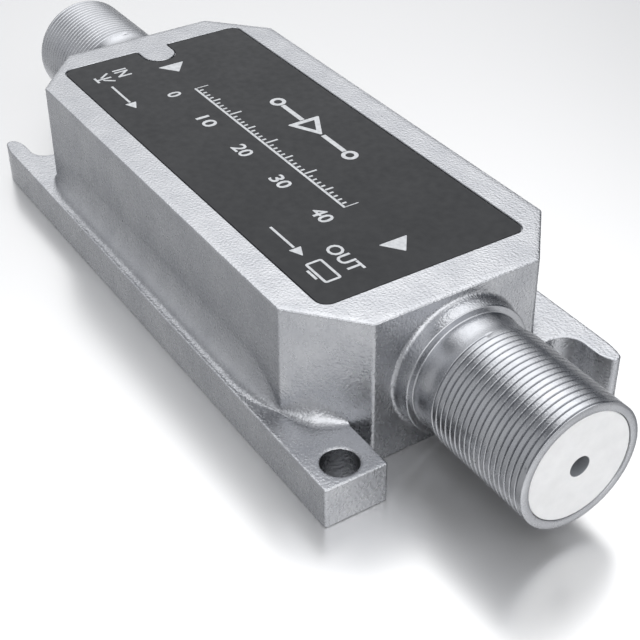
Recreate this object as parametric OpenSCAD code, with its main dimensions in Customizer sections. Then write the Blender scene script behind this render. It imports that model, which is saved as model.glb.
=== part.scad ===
// In-line television signal amplifier in a die-cast housing.
// X runs along the signal, from the input port to the output port. Z is up.
// The origin is the centre of the mounting face.

/* [Body] */
// Length of the raised body over its end walls, at the label face
body_l = 47.8; // [46:0.1:60]
// Width of the raised body over its long walls, at the label face
body_w = 22.3; // [21:0.1:30]
// Height from the mounting face to the label face
body_h = 11.9; // [11.5:0.1:16]
// Length that each corner cut takes off the long wall
corner_cut_l = 4.9; // [3:0.1:7]
// Width that each corner cut takes off the end wall
corner_cut_w = 4.3; // [3:0.1:5]
// Draft of the cast walls, in degrees
wall_draft = 0.4; // [0.1:0.1:1.5]
// Round on the edge of the label face
top_edge_r = 0.35; // [0.1:0.05:0.8]

/* [Mounting flange] */
// Length over the ears
flange_l = 54.9; // [54:0.1:70]
// Width over the flange
flange_w = 25.9; // [25:0.1:36]
// Thickness of the flange
flange_t = 3.3; // [2:0.1:4]
// Concave round between the walls and the top of the flange
foot_fillet_r = 1.4; // [0.4:0.1:1.6]
// Round on the upper outside edges of the flange
flange_edge_r = 0.3; // [0.1:0.05:0.6]
// Clear width between the two ears at each end
ear_gap = 16; // [14:0.1:17]
// Diameter of the round fixing hole in one ear at each end
hole_d = 2.7; // [2:0.1:2.8]
// Centre of the fixing hole to the end of the ear
hole_to_end = 1.85; // [1.8:0.05:2.2]
// Centre of the fixing hole to the side of the flange
hole_to_side = 2.35; // [2:0.05:2.8]
// Width of the open fixing slot in the other ear at each end
slot_w = 3.3; // [2.4:0.1:3.4]
// Centre of the slot's round end to the end of the ear
slot_to_end = 2.8; // [2.4:0.1:3.4]
// Width of the finger outside the open slot
finger_w = 1.6; // [1.2:0.1:2]
// Length over which the finger narrows to its tip
finger_taper_l = 2.3; // [1.6:0.1:2.6]
// Radius of the long curve on the outside of the finger's tip
finger_outer_r = 7; // [6:0.5:10]
// Radius of the short curve on the inside of the finger's tip
finger_inner_r = 2.6; // [2:0.1:4]

/* [Label] */
// Length of the label plate
label_l = 41.5; // [38:0.1:43]
// Width of the label plate
label_w = 17.1; // [14:0.1:18]
// Thickness of the label plate
label_t = 0.15; // [0.1:0.01:0.3]
// Depth of the shallow pocket that the label lies in
label_pocket = 0.2; // [0.1:0.01:0.4]
// Gap between the label and the side of its pocket
label_gap = 0.08; // [0.02:0.01:0.3]
// Radius of the label's corners
label_corner_r = 0.9; // [0.3:0.1:2]
// Shift of the label's centre towards the input port
label_shift = 0.33; // [0:0.01:1]
// Width of the notch in the label's input end
notch_w = 3; // [1.5:0.1:5]
// Depth of the notch in the label's input end
notch_l = 2.8; // [2.6:0.1:5]

/* [Ports] */
// Height of the port axis above the mounting face
port_z = 6.05; // [5.9:0.05:6.2]
// Length of a port from the end wall to its mouth
port_l = 12.8; // [12.4:0.1:16]
// Outside diameter of the port's thread
thread_d = 9.525; // [9.3:0.025:9.6]
// Length of the threaded stretch, back from the mouth
thread_l = 9.4; // [7:0.1:10]
// Diameter of the plain neck behind the thread
neck_d = 9.2; // [9:0.05:9.2]
// Diameter of the collar at the root of the port
collar_d = 10.4; // [9.8:0.1:11]
// Length of the collar
collar_l = 1.35; // [0.8:0.05:2]
// Concave round between the collar and the end wall
collar_fillet_r = 0.4; // [0.1:0.05:0.7]
// Radial width of the chamfer at the mouth
mouth_chamfer = 0.16; // [0.05:0.01:0.25]
// Diameter of the seat for the front insulator
mouth_d = 8.3; // [7.6:0.05:8.4]
// Depth of the seat for the front insulator
mouth_depth = 1.1; // [0.8:0.1:2]
// Diameter of the port's inner bore
bore_d = 6.6; // [5.5:0.1:7]
// Diameter of the hole from the bore into the cavity
wall_hole_d = 4.2; // [3.4:0.1:5]
// Length of the shoulder outside the end wall that stops the rear insulator
shoulder_l = 0.7; // [0.4:0.1:1.2]

/* [Insulators and contacts] */
// Clearance of the insulators in the housing
insulator_gap = 0.03; // [0.01:0.01:0.08]
// Depth of the front insulator's face below the mouth
insulator_inset = 0.1; // [0:0.05:0.3]
// Length of the front insulator's spigot in the bore
front_spigot_l = 1.3; // [0.6:0.1:2]
// Diameter of the hole for the plug's centre wire
wire_hole_d = 1.54; // [1.2:0.02:1.8]
// Length of the rear insulator's bead in the bore
rear_bead_l = 2.8; // [2:0.1:4]
// Outside diameter of the contact tube
contact_d = 1.9; // [1.8:0.05:2.4]
// Inside diameter of the contact tube
contact_bore_d = 1; // [0.8:0.05:1.1]
// Width of the slots that part the contact's springs
contact_slot_w = 0.25; // [0.15:0.05:0.4]
// Length of the contact's springs
contact_spring_l = 4.6; // [3:0.1:5]
// Diameter of the flange that seats the contact on the rear insulator
contact_flange_d = 3; // [2.6:0.1:4]
// Thickness of that flange
contact_flange_t = 0.5; // [0.3:0.1:0.8]
// Diameter of the contact's tail
tail_d = 0.9; // [0.6:0.05:1]
// Length of the tail inside the cavity
tail_l = 2.2; // [1.5:0.1:2.8]
// Clearance between the tail and the rear insulator
tail_gap = 0.02; // [0.01:0.01:0.05]

/* [Cavity and cover] */
// Thickness of the long walls and the corner walls
wall_t = 1.6; // [1.2:0.1:2]
// Thickness of the end walls
end_wall_t = 1.7; // [1.3:0.1:2.2]
// Thickness of the roof below the label face
roof_t = 1.6; // [1.2:0.1:2]
// Thickness of the bottom cover's sheet
cover_t = 0.5; // [0.3:0.05:0.6]
// Depth of the cover's outer face below the mounting face
cover_inset = 0.1; // [0:0.05:0.3]
// Width of the ledge that the cover lies against
cover_ledge = 0.8; // [0.5:0.1:1]
// Gap round the edge of the cover
cover_gap = 0.08; // [0.02:0.02:0.2]
// Height of the stiffening panel pressed into the cover
panel_h = 0.35; // [0.1:0.05:0.5]
// Plain border between the cover's edge and its panel
panel_border = 3; // [2.4:0.1:5]

/* [Circuit board] */
// Thickness of the circuit board
board_t = 0.8; // [0.5:0.1:1.2]
// Gap between the board's edge and the cavity walls
board_gap = 0.4; // [0.2:0.1:0.8]
// Diameter of the cast posts that the board is held against
post_d = 2.6; // [2:0.1:3.2]
// Diameter of the pip on each post, which passes through the board
pip_d = 1.1; // [0.8:0.1:1.5]
// Height of the pip above the board's component side
pip_h = 0.6; // [0.3:0.1:1]
// Clearance of the pip in the board's hole
pip_gap = 0.1; // [0.05:0.05:0.2]
// Centre of each post to the cavity's end wall
post_to_end = 6.2; // [5:0.1:8]
// Centre of each post to the cavity's long wall
post_to_side = 2.3; // [2:0.1:3]
// Thickness of the cast rib that parts the two stages
rib_t = 1; // [0.6:0.1:1.5]
// Gap between that rib and the board
rib_gap = 0.3; // [0.1:0.1:0.6]
// Width of the solder ring round each pip
solder_w = 0.6; // [0.3:0.1:0.9]

/* [Components] */
// Length, width and height of the signal capacitors
signal_cap = [2, 1.25, 0.9]; // [1:0.05:3]
// Length, width and height of the bypass capacitors
bypass_cap = [1.6, 0.8, 0.8]; // [0.7:0.05:2.4]
// Length, width and height of the bias resistors
resistor = [2, 1.25, 0.5]; // [0.4:0.05:2.4]
// Length, width and height of the filter capacitor
filter_cap = [3.2, 1.6, 1.6]; // [1.2:0.1:4]
// Length, width and height of the protection diode
diode = [4.3, 2.6, 2.1]; // [1.8:0.1:4.6]
// Length, width and height of the feed inductors
feed_inductor = [2.5, 2, 1.8]; // [1.5:0.1:3]
// Length, width and height of the amplifier chips
chip = [4.5, 2.5, 1.5]; // [1.2:0.1:5]
// Diameter of the choke's ferrite rod
rod_d = 1.8; // [1.2:0.1:2.2]
// Length of the choke's ferrite rod
rod_l = 7; // [6.4:0.1:8]
// Diameter of the choke's wire
wire_d = 0.4; // [0.25:0.05:0.42]
// Pitch of the choke's turns
wire_pitch = 0.85; // [0.83:0.01:0.9]
// Number of whole turns on the choke
turns = 6; // [4:1:7]

/* [Hidden] */

$fn = 96;
// Overrun of a cut past the face that it breaks through
over = 1;
// Sink of one face into another where two cast forms blend
sink = 0.02;
// Flats that make up the round on the edge of the label face
top_round_flats = 4;
// Flats that make up the concave foot
foot_flats = 6;
input = -1;
output = 1;

// Angle between the X axis and the normal of a corner wall
cut_angle = atan2(corner_cut_l, corner_cut_w);
// Distance from the centre to a corner wall, at the label face
cut_half = (body_l / 2 * corner_cut_w + (body_w / 2 - corner_cut_w) * corner_cut_l)
    / norm([corner_cut_l, corner_cut_w]);
// A length that reaches right through the housing
through = 2 * (body_l + flange_w);

end_face = body_l / 2;
mouth_face = end_face + port_l;
cavity_end = end_face - end_wall_t;
cavity_side = body_w / 2 - wall_t;
cavity_cut = cut_half - wall_t;
cavity_roof = body_h - roof_t;
cover_top = cover_inset + cover_t;

front_face = mouth_face - insulator_inset;
front_seat = mouth_face - mouth_depth;
rear_seat = end_face + shoulder_l;
bead_face = rear_seat + rear_bead_l;
// Room that the contact's mouth keeps behind the front insulator
mouth_room = 0.2;
contact_mouth = front_seat - front_spigot_l - mouth_room;
tail_end = cavity_end - tail_l;

board_low = port_z + tail_d / 2;
board_high = board_low + board_t;
post_x = cavity_end - post_to_end;
post_y = cavity_side - post_to_side;

// Places of the components' centres on the board
input_cap_at = [-15.4, 0];
first_stage_at = [-10, 0];
interstage_cap_at = [-5, 0];
second_stage_at = [1, 0];
output_cap_at = [8, 0];
choke_at = [9.6, 4.6];
first_feed_at = [-5, -4];
second_feed_at = [4.5, -3.6];
regulator_at = [-1.2, 5];
diode_at = [13.2, -2.6];
filter_cap_at = [-10.4, -5.6];
bypass_at = [[-13.6, -3.4], [-1.4, -4.4], [8.2, -3.2], [8.4, -6.4]];
resistor_at = [[-1.4, -6.6], [3.6, 3], [3.6, 5.2], [-14.8, 2.4]];

// Clearance between the choke's wire and its rod
winding_gap = 0.03;
// Room between the choke's wire and the board
choke_room = 0.1;
helix_r = rod_d / 2 + winding_gap + wire_d / 2;
choke_drop = helix_r + wire_d / 2 + choke_room;
helix_l = (turns + 0.5) * wire_pitch;
wire_sides = 6;
rings_per_turn = 12;

// Housing

// Places a flat section upright, with its width along the direction that
// stands at the given angle to X, and carries it right through the housing
module carried_through(angle) {
    rotate([0, 0, angle])
        rotate([90, 0, 0])
            linear_extrude(through, center = true)
                children();
}

// Section between two opposite walls: drafted sides, and top edges rounded in
// short flats. side is 1 or -1
function wall_edge(half, side) = [
    for (k = [0 : top_round_flats])
        let (
            turn = wall_draft + (90 - wall_draft) * k / top_round_flats,
            centre_x = half + top_edge_r * tan(wall_draft) - top_edge_r / cos(wall_draft)
        )
        [side * (centre_x + top_edge_r * cos(turn)), body_h - top_edge_r * (1 - sin(turn))]
];

function reversed(points) = [for (k = [len(points) - 1 : -1 : 0]) points[k]];

module wall_section(half) {
    foot = half + body_h * tan(wall_draft);
    polygon(concat(
        [[-foot, 0], [foot, 0]], wall_edge(half, 1), reversed(wall_edge(half, -1))
    ));
}

// One side of the concave foot, in short flats. The lowest starts just inside the
// flange and the highest ends just inside the wall
function foot_edge(half, side) = [
    for (k = [0 : foot_flats])
        let (
            turn = 90 * k / foot_flats,
            top = flange_t + foot_fillet_r - sink,
            wall = half + (body_h - top) * tan(wall_draft) - sink
        )
        [side * (wall + foot_fillet_r * (1 - sin(turn))), top - foot_fillet_r * cos(turn)]
];

// Section of the concave foot between two opposite walls and the flange
module foot_section(half) {
    edge = foot_edge(half, 1);
    polygon(concat(
        [[-edge[0][0], 0], [edge[0][0], 0]], edge, reversed(foot_edge(half, -1))
    ));
}

module raised_body() {
    intersection() {
        carried_through(0)
            wall_section(body_l / 2);
        carried_through(90)
            wall_section(body_w / 2);
        carried_through(cut_angle)
            wall_section(cut_half);
        carried_through(-cut_angle)
            wall_section(cut_half);
    }
}

module rounded_rectangle(l, w, r) {
    square([l - 2 * r, w], center = true);
    square([l, w - 2 * r], center = true);
    for (x = [-1, 1], y = [-1, 1])
        translate([x * (l / 2 - r), y * (w / 2 - r)])
            circle(r);
}

// Everything that the open slot takes away from one ear
module slot_cut() {
    x = flange_l / 2 - slot_to_end;
    y = flange_w / 2 - finger_w - slot_w / 2;
    // The slot is open towards the gap from here outwards, so no thin point is left
    open_x = max(x - slot_w / 3, end_face);
    translate([x, y])
        circle(slot_w / 2);
    translate([x, y])
        square([slot_to_end + over, slot_w / 2]);
    translate([open_x, ear_gap / 2])
        square([flange_l / 2 - open_x + over, y - ear_gap / 2]);
}

// The tip of the finger: two curves that meet in a small round nose
module finger_tip() {
    start = flange_l / 2 - finger_taper_l;
    side = flange_w / 2;
    inside = side - finger_w;
    nose_x = flange_l / 2 - finger_w * 0.3;
    inner_start = nose_x - finger_taper_l / 2;
    outer_y = side - finger_outer_r
        + sqrt(pow(finger_outer_r, 2) - pow(nose_x - start, 2));
    inner_y = inside + finger_inner_r
        - sqrt(pow(finger_inner_r, 2) - pow(nose_x - inner_start, 2));
    intersection() {
        translate([start, inside])
            square([nose_x - start, finger_w]);
        translate([start, side - finger_outer_r])
            circle(finger_outer_r);
        union() {
            translate([inner_start, inside + finger_inner_r])
                circle(finger_inner_r);
            translate([start - over, inside])
                square([inner_start - start + over, finger_w]);
        }
    }
    translate([nose_x, (outer_y + inner_y) / 2])
        circle((outer_y - inner_y) / 2);
}

// Outline of the flange, the same when it is turned half round
module flange_outline() {
    corner_r = 0.3;
    tip_start = flange_l / 2 - finger_taper_l;
    difference() {
        rounded_rectangle(flange_l, flange_w, corner_r);
        for (turn = [0, 180])
            rotate(turn) {
                translate([end_face, -ear_gap / 2])
                    square([flange_l, ear_gap]);
                slot_cut();
                translate([tip_start, flange_w / 2 - finger_w])
                    square([finger_taper_l + over, finger_w + over]);
                translate([flange_l / 2 - hole_to_end, hole_to_side - flange_w / 2])
                    circle(hole_d / 2);
            }
    }
    for (turn = [0, 180])
        rotate(turn)
            finger_tip();
}

// Section of the flange with its upper outside edges rounded
module flange_section(half) {
    square_half = half - flange_edge_r;
    translate([-square_half, 0])
        square([2 * square_half, flange_t]);
    translate([-half, 0])
        square([2 * half, flange_t - flange_edge_r]);
    for (side = [-1, 1])
        translate([side * square_half, flange_t - flange_edge_r])
            circle(flange_edge_r);
}

module flange() {
    intersection() {
        linear_extrude(flange_t)
            flange_outline();
        carried_through(0)
            flange_section(flange_l / 2);
        carried_through(90)
            flange_section(flange_w / 2);
    }
}

module foot_blend() {
    intersection() {
        linear_extrude(flange_t + foot_fillet_r)
            flange_outline();
        carried_through(90)
            foot_section(body_w / 2);
        carried_through(cut_angle)
            foot_section(cut_half);
        carried_through(-cut_angle)
            foot_section(cut_half);
    }
}

// Lays a port's own axis along X, pointing out of the given end
module on_port(side) {
    translate([0, 0, port_z])
        rotate([0, side * 90, 0])
            children();
}

// Half section of a port's outside, with the radius along x
module port_section() {
    root = end_face - end_wall_t / 2;
    collar_end = end_face + collar_l;
    thread_start = mouth_face - thread_l;
    chamfer_l = 2 * mouth_chamfer;
    polygon([
        [0, root], [collar_d / 2, root], [collar_d / 2, collar_end],
        [neck_d / 2, collar_end], [neck_d / 2, thread_start],
        [thread_d / 2, thread_start], [thread_d / 2, mouth_face - chamfer_l],
        [thread_d / 2 - mouth_chamfer, mouth_face], [0, mouth_face]
    ]);
    difference() {
        translate([collar_d / 2 - sink, root])
            square([collar_fillet_r, end_face + collar_fillet_r - root]);
        translate([collar_d / 2 - sink + collar_fillet_r, end_face + collar_fillet_r])
            circle(collar_fillet_r);
    }
}

// The stepped bore through a port and its end wall
module port_bore() {
    translate([0, 0, cavity_end - over])
        cylinder(h = mouth_face - cavity_end + over, d = wall_hole_d);
    translate([0, 0, rear_seat])
        cylinder(h = mouth_face - rear_seat, d = bore_d);
    translate([0, 0, front_seat])
        cylinder(h = mouth_depth + over, d = mouth_d);
}

// Eight-sided outline, given by its half sizes to the three kinds of wall
module eight_sides(half_l, half_w, half_cut) {
    intersection() {
        square([2 * half_l, 2 * half_w], center = true);
        rotate(cut_angle)
            square([2 * half_cut, through], center = true);
        rotate(-cut_angle)
            square([2 * half_cut, through], center = true);
    }
}

module label_outline(grow) {
    difference() {
        translate([-label_shift, 0])
            rounded_rectangle(label_l + 2 * grow, label_w + 2 * grow, label_corner_r + grow);
        translate([-label_shift - label_l / 2 + notch_l - notch_w / 2, 0])
            circle(notch_w / 2 - grow);
        translate([-label_shift - label_l / 2 - over, grow - notch_w / 2])
            square([notch_l - notch_w / 2 + over, notch_w - 2 * grow]);
    }
}

module at_posts() {
    for (x = [-1, 1], y = [-1, 1])
        translate([x * post_x, y * post_y, 0])
            children();
}

module cavity() {
    difference() {
        translate([0, 0, -over])
            linear_extrude(cavity_roof + over)
                eight_sides(cavity_end, cavity_side, cavity_cut);
        at_posts() {
            translate([0, 0, board_high])
                cylinder(h = body_h - board_high, d = post_d);
            translate([0, 0, board_low - pip_h])
                cylinder(h = body_h - board_low, d = pip_d);
        }
        translate([-rib_t / 2, -body_w / 2, board_high + rib_gap])
            cube([rib_t, body_w, body_h - board_high]);
    }
    translate([0, 0, -over])
        linear_extrude(cover_top + over)
            eight_sides(
                cavity_end + cover_ledge, cavity_side + cover_ledge, cavity_cut + cover_ledge
            );
}

module housing() {
    color("silver")
        difference() {
            union() {
                raised_body();
                flange();
                foot_blend();
                for (side = [input, output])
                    on_port(side)
                        rotate_extrude()
                            port_section();
            }
            cavity();
            for (side = [input, output])
                on_port(side)
                    port_bore();
            translate([0, 0, body_h - label_pocket])
                linear_extrude(label_pocket + over)
                    label_outline(label_gap);
        }
}

// Cover and label

module cover_outline(border) {
    rim = cover_ledge - cover_gap - border;
    eight_sides(cavity_end + rim, cavity_side + rim, cavity_cut + rim);
}

module bottom_cover() {
    color("gainsboro")
        difference() {
            union() {
                translate([0, 0, cover_inset])
                    linear_extrude(cover_t)
                        cover_outline(0);
                translate([0, 0, cover_inset])
                    linear_extrude(cover_t + panel_h)
                        cover_outline(panel_border);
            }
            translate([0, 0, cover_inset - over])
                linear_extrude(panel_h + over)
                    cover_outline(panel_border + cover_t);
        }
}

module label_plate() {
    color("dimgray")
        translate([0, 0, body_h - label_pocket])
            linear_extrude(label_t)
                label_outline(0);
}

// Insulators and contacts

module front_insulator(side) {
    color("white")
        on_port(side)
            difference() {
                union() {
                    translate([0, 0, front_seat])
                        cylinder(h = front_face - front_seat, d = mouth_d - 2 * insulator_gap);
                    translate([0, 0, front_seat - front_spigot_l])
                        cylinder(h = front_spigot_l, d = bore_d - 2 * insulator_gap);
                }
                translate([0, 0, front_seat - front_spigot_l - over])
                    cylinder(h = front_face - front_seat + front_spigot_l + 2 * over, d = wire_hole_d);
            }
}

module rear_insulator(side) {
    color("ivory")
        on_port(side)
            difference() {
                union() {
                    translate([0, 0, rear_seat])
                        cylinder(h = rear_bead_l, d = bore_d - 2 * insulator_gap);
                    translate([0, 0, cavity_end])
                        cylinder(h = rear_seat - cavity_end, d = wall_hole_d - 2 * insulator_gap);
                }
                translate([0, 0, cavity_end - over])
                    cylinder(h = bead_face - cavity_end + 2 * over, d = tail_d + 2 * tail_gap);
            }
}

// A turned contact: slotted spring tube, flange and solder tail
module contact(side) {
    spring_root = contact_mouth - contact_spring_l;
    // Depth of the bore behind the slots' ends
    bore_past_slots = 0.6;
    color("goldenrod")
        on_port(side)
            difference() {
                union() {
                    translate([0, 0, tail_end])
                        cylinder(h = bead_face - tail_end, d = tail_d);
                    translate([0, 0, bead_face])
                        cylinder(h = contact_flange_t, d = contact_flange_d);
                    translate([0, 0, bead_face])
                        cylinder(h = contact_mouth - bead_face, d = contact_d);
                }
                translate([0, 0, spring_root - bore_past_slots])
                    cylinder(h = contact_spring_l + bore_past_slots + over, d = contact_bore_d);
                for (turn = [0, 90])
                    rotate(turn)
                        translate([-contact_d, -contact_slot_w / 2, spring_root])
                            cube([2 * contact_d, contact_slot_w, contact_spring_l + over]);
            }
}

// Circuit board and its solder

module circuit_board() {
    color("darkgreen")
        translate([0, 0, board_low])
            linear_extrude(board_t)
                difference() {
                    eight_sides(
                        cavity_end - board_gap, cavity_side - board_gap, cavity_cut - board_gap
                    );
                    at_posts()
                        circle(pip_d / 2 + pip_gap);
                }
}

module ground_solder_joints() {
    low = board_low - pip_h * 0.7;
    color("lightgray")
        at_posts()
            difference() {
                translate([0, 0, low])
                    cylinder(h = board_low - low, d1 = pip_d, d2 = pip_d + 2 * solder_w);
                translate([0, 0, low - over])
                    cylinder(h = pip_h + 2 * over, d = pip_d);
            }
}

module contact_solder_joints() {
    solder_l = tail_l * 0.7;
    solder_foot = 2 * tail_d;
    color("lightgray")
        for (side = [input, output])
            difference() {
                translate([side * (tail_end + solder_l / 2), 0, board_low])
                    rotate([90, 0, 90])
                        linear_extrude(solder_l, center = true)
                            polygon([
                                [-solder_foot, 0], [-tail_d / 2, -tail_d * 0.8],
                                [tail_d / 2, -tail_d * 0.8], [solder_foot, 0]
                            ]);
                on_port(side)
                    translate([0, 0, tail_end - over])
                        cylinder(h = tail_l + over, d = tail_d);
            }
}

// Components. Each hangs from the board's lower side, with its own z pointing down

module under_board(at) {
    translate([at[0], at[1], board_low])
        mirror([0, 0, 1])
            children();
}

// A chip with metal ends that stand slightly proud of its middle
module capped_chip(size) {
    cap_l = size[0] / 5;
    proud = 0.04;
    translate([-size[0] / 2, -size[1] / 2, 0])
        cube([cap_l, size[1], size[2]]);
    translate([size[0] / 2 - cap_l, -size[1] / 2, 0])
        cube([cap_l, size[1], size[2]]);
    translate([-size[0] / 2 + cap_l, proud - size[1] / 2, proud])
        cube([size[0] - 2 * cap_l, size[1] - 2 * proud, size[2] - 2 * proud]);
}

// A moulded body with bent leads at its two ends
module moulded_part(size, lead_w) {
    lead_t = 0.2;
    lead_l = 0.7;
    body_size = size[0] - 2 * lead_l;
    translate([-body_size / 2, -size[1] / 2, lead_t / 2])
        cube([body_size, size[1], size[2] - lead_t / 2]);
    for (end = [-1, 1])
        translate([end * (size[0] - lead_l) / 2, 0, 0]) {
            translate([-lead_l / 2, -lead_w / 2, 0])
                cube([lead_l, lead_w, lead_t]);
            translate([-end * lead_l / 2 - lead_t / 2, -lead_w / 2, 0])
                cube([lead_t, lead_w, size[2] / 2]);
        }
}

// A three-lead package with a cooling tab on the far side
module tab_package() {
    lead_w = 0.4;
    lead_l = 0.9;
    lead_t = 0.35;
    tab_w = chip[0] * 0.38;
    translate([-chip[0] / 2, -chip[1] / 2, 0])
        cube(chip);
    for (lead = [-1, 0, 1])
        translate([lead * chip[0] / 3 - lead_w / 2, -chip[1] / 2 - lead_l, 0])
            cube([lead_w, lead_l, lead_t]);
    translate([-tab_w / 2, chip[1] / 2, 0])
        cube([tab_w, lead_l, lead_t]);
}

module signal_capacitor(at) {
    color("peru")
        under_board(at)
            capped_chip(signal_cap);
}

module amplifier_chip(at) {
    color("black")
        under_board(at)
            tab_package();
}

// Lays a choke's own axis along X, below the board
module at_choke(side) {
    translate([side * choke_at[0], choke_at[1], board_low - choke_drop])
        children();
}

module choke_rod(side) {
    color("dimgray")
        at_choke(side)
            rotate([0, 90, 0])
                cylinder(h = rod_l, d = rod_d, center = true);
}

// Centre of the wire at an angle along the winding
function helix_point(a) = [
    -helix_l / 2 + wire_pitch * a / 360, helix_r * cos(a), -helix_r * sin(a)
];

// Direction of the wire at that angle
function helix_way(a) = [wire_pitch / 360, -helix_r * sin(a) * PI / 180, -helix_r * cos(a) * PI / 180];

function unit(v) = v / norm(v);

// Outward direction from the rod at that angle
function helix_out(a) = [0, cos(a), -sin(a)];

// One ring of points round the wire
function wire_ring(centre, way, out) = [
    for (s = [0 : wire_sides - 1])
        let (b = 360 * s / wire_sides)
        centre + wire_d / 2 * (cos(b) * out + sin(b) * cross(way, out))
];

// The wire: a straight leg from the board, the turns, and a leg back to the board
module choke_winding(side) {
    last = (turns + 0.5) * 360;
    steps = rings_per_turn * (turns + 0.5);
    angles = [for (k = [0 : steps]) last * k / steps];
    leg_foot = [-helix_l / 2, helix_r, choke_drop];
    leg_end = [helix_l / 2, -helix_r, choke_drop];
    rings = concat(
        [wire_ring(leg_foot, [0, 0, -1], [0, 1, 0])],
        [for (a = angles) wire_ring(helix_point(a), unit(helix_way(a)), helix_out(a))],
        [wire_ring(leg_end, [0, 0, 1], [0, -1, 0])]
    );
    count = len(rings);
    walls = [
        for (r = [0 : count - 2], s = [0 : wire_sides - 1])
            let (
                a = r * wire_sides + s,
                b = r * wire_sides + (s + 1) % wire_sides,
                c = a + wire_sides,
                d = b + wire_sides
            )
            each [[a, b, d], [a, d, c]]
    ];
    first_cap = [for (s = [1 : wire_sides - 2]) [0, s + 1, s]];
    base = (count - 1) * wire_sides;
    last_cap = [for (s = [1 : wire_sides - 2]) [base, base + s, base + s + 1]];
    centres = [for (a = angles) helix_point(a)];
    apart = [
        for (i = [0 : len(centres) - 1], j = [i + rings_per_turn / 2 : len(centres) - 1])
            norm(centres[i] - centres[j])
    ];
    echo("least gap between the choke's turns, mm", min(apart) - wire_d);
    color("orangered")
        at_choke(side)
            polyhedron(
                points = [for (ring = rings) each ring],
                faces = concat(walls, first_cap, last_cap)
            );
}

module feed_coil(at) {
    flange_part = 0.25;
    waist = 0.2;
    color("slategray")
        under_board(at) {
            for (end = [0, 1])
                translate([
                    -feed_inductor[0] / 2 + end * feed_inductor[0] * (1 - flange_part),
                    -feed_inductor[1] / 2, 0
                ])
                    cube([feed_inductor[0] * flange_part, feed_inductor[1], feed_inductor[2]]);
            translate([-feed_inductor[0] / 2, waist - feed_inductor[1] / 2, waist])
                cube([feed_inductor[0], feed_inductor[1] - 2 * waist, feed_inductor[2] - 2 * waist]);
        }
}

module voltage_regulator() {
    color("black")
        under_board(regulator_at)
            tab_package();
}

module protection_diode() {
    color("black")
        under_board(diode_at)
            moulded_part(diode, diode[1] * 0.55);
}

module filter_capacitor() {
    color("gold")
        under_board(filter_cap_at)
            moulded_part(filter_cap, filter_cap[1] * 0.75);
}

module bypass_capacitors() {
    color("tan")
        for (at = bypass_at)
            under_board(at)
                capped_chip(bypass_cap);
}

module bias_resistors() {
    color("dimgray")
        for (at = resistor_at)
            under_board(at)
                capped_chip(resistor);
}

housing();
bottom_cover();
label_plate();
front_insulator(input);  // input_front_insulator
front_insulator(output);  // output_front_insulator
rear_insulator(input);  // input_rear_insulator
rear_insulator(output);  // output_rear_insulator
contact(input);  // input_contact
contact(output);  // output_contact
circuit_board();
ground_solder_joints();
contact_solder_joints();
signal_capacitor(input_cap_at);  // input_signal_capacitor
amplifier_chip(first_stage_at);  // first_stage_chip
signal_capacitor(interstage_cap_at);  // interstage_capacitor
amplifier_chip(second_stage_at);  // second_stage_chip
signal_capacitor(output_cap_at);  // output_signal_capacitor
choke_rod(input);  // input_choke_rod
choke_winding(input);  // input_choke_winding
choke_rod(output);  // output_choke_rod
choke_winding(output);  // output_choke_winding
feed_coil(first_feed_at);  // first_feed_inductor
feed_coil(second_feed_at);  // second_feed_inductor
voltage_regulator();
protection_diode();
filter_capacitor();
bypass_capacitors();
bias_resistors();
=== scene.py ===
"""Looks of an in-line television signal amplifier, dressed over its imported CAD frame.

X runs along the signal, from the input port to the output port, and Z is up. Shapes are
worked out in millimetres, and each mesh is turned into metres as it is made.
"""

import logging
import math
from dataclasses import dataclass, field
from enum import Enum

import bmesh
import bpy
import numpy as np
from mathutils import Matrix, Vector
from mathutils.geometry import tessellate_polygon


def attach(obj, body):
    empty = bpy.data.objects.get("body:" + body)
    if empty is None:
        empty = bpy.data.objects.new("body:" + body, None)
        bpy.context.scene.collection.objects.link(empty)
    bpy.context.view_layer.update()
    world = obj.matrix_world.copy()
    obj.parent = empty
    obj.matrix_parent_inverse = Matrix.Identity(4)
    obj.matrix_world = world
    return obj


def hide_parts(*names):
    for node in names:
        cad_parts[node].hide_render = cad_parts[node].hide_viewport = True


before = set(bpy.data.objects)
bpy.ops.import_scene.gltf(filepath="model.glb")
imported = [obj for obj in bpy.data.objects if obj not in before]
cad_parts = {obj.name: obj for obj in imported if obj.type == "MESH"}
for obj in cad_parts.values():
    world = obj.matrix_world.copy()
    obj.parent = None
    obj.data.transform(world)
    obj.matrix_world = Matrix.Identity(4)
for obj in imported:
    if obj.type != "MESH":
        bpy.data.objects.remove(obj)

log = logging.getLogger("amplifier")

METRES_PER_MM = 0.001
# Points this close, in metres, are one point of a mesh
SAME_POINT = 1e-7
# Edges that turn more than this, in degrees, stay sharp
SHARP_TURN = 38.0
# Strips round a quarter turn of a small round
ROUND_STRIPS = 5
# How strongly a piece's large faces lead its shading
FLAT_FACE_WEIGHT = 80
# Points round a plain circle
CIRCLE_STEPS = 48
# Noise seldom leaves this range, so ramps run between its ends
NOISE_LOW, NOISE_HIGH = 0.3, 0.7

Colour = tuple[float, float, float]
Triple = tuple[float, float, float]
Socket = bpy.types.NodeSocket


class End(Enum):
    """The two ends of the amplifier, as the sign of their X."""

    INPUT = -1
    OUTPUT = 1


# Outlines and skins


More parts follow.
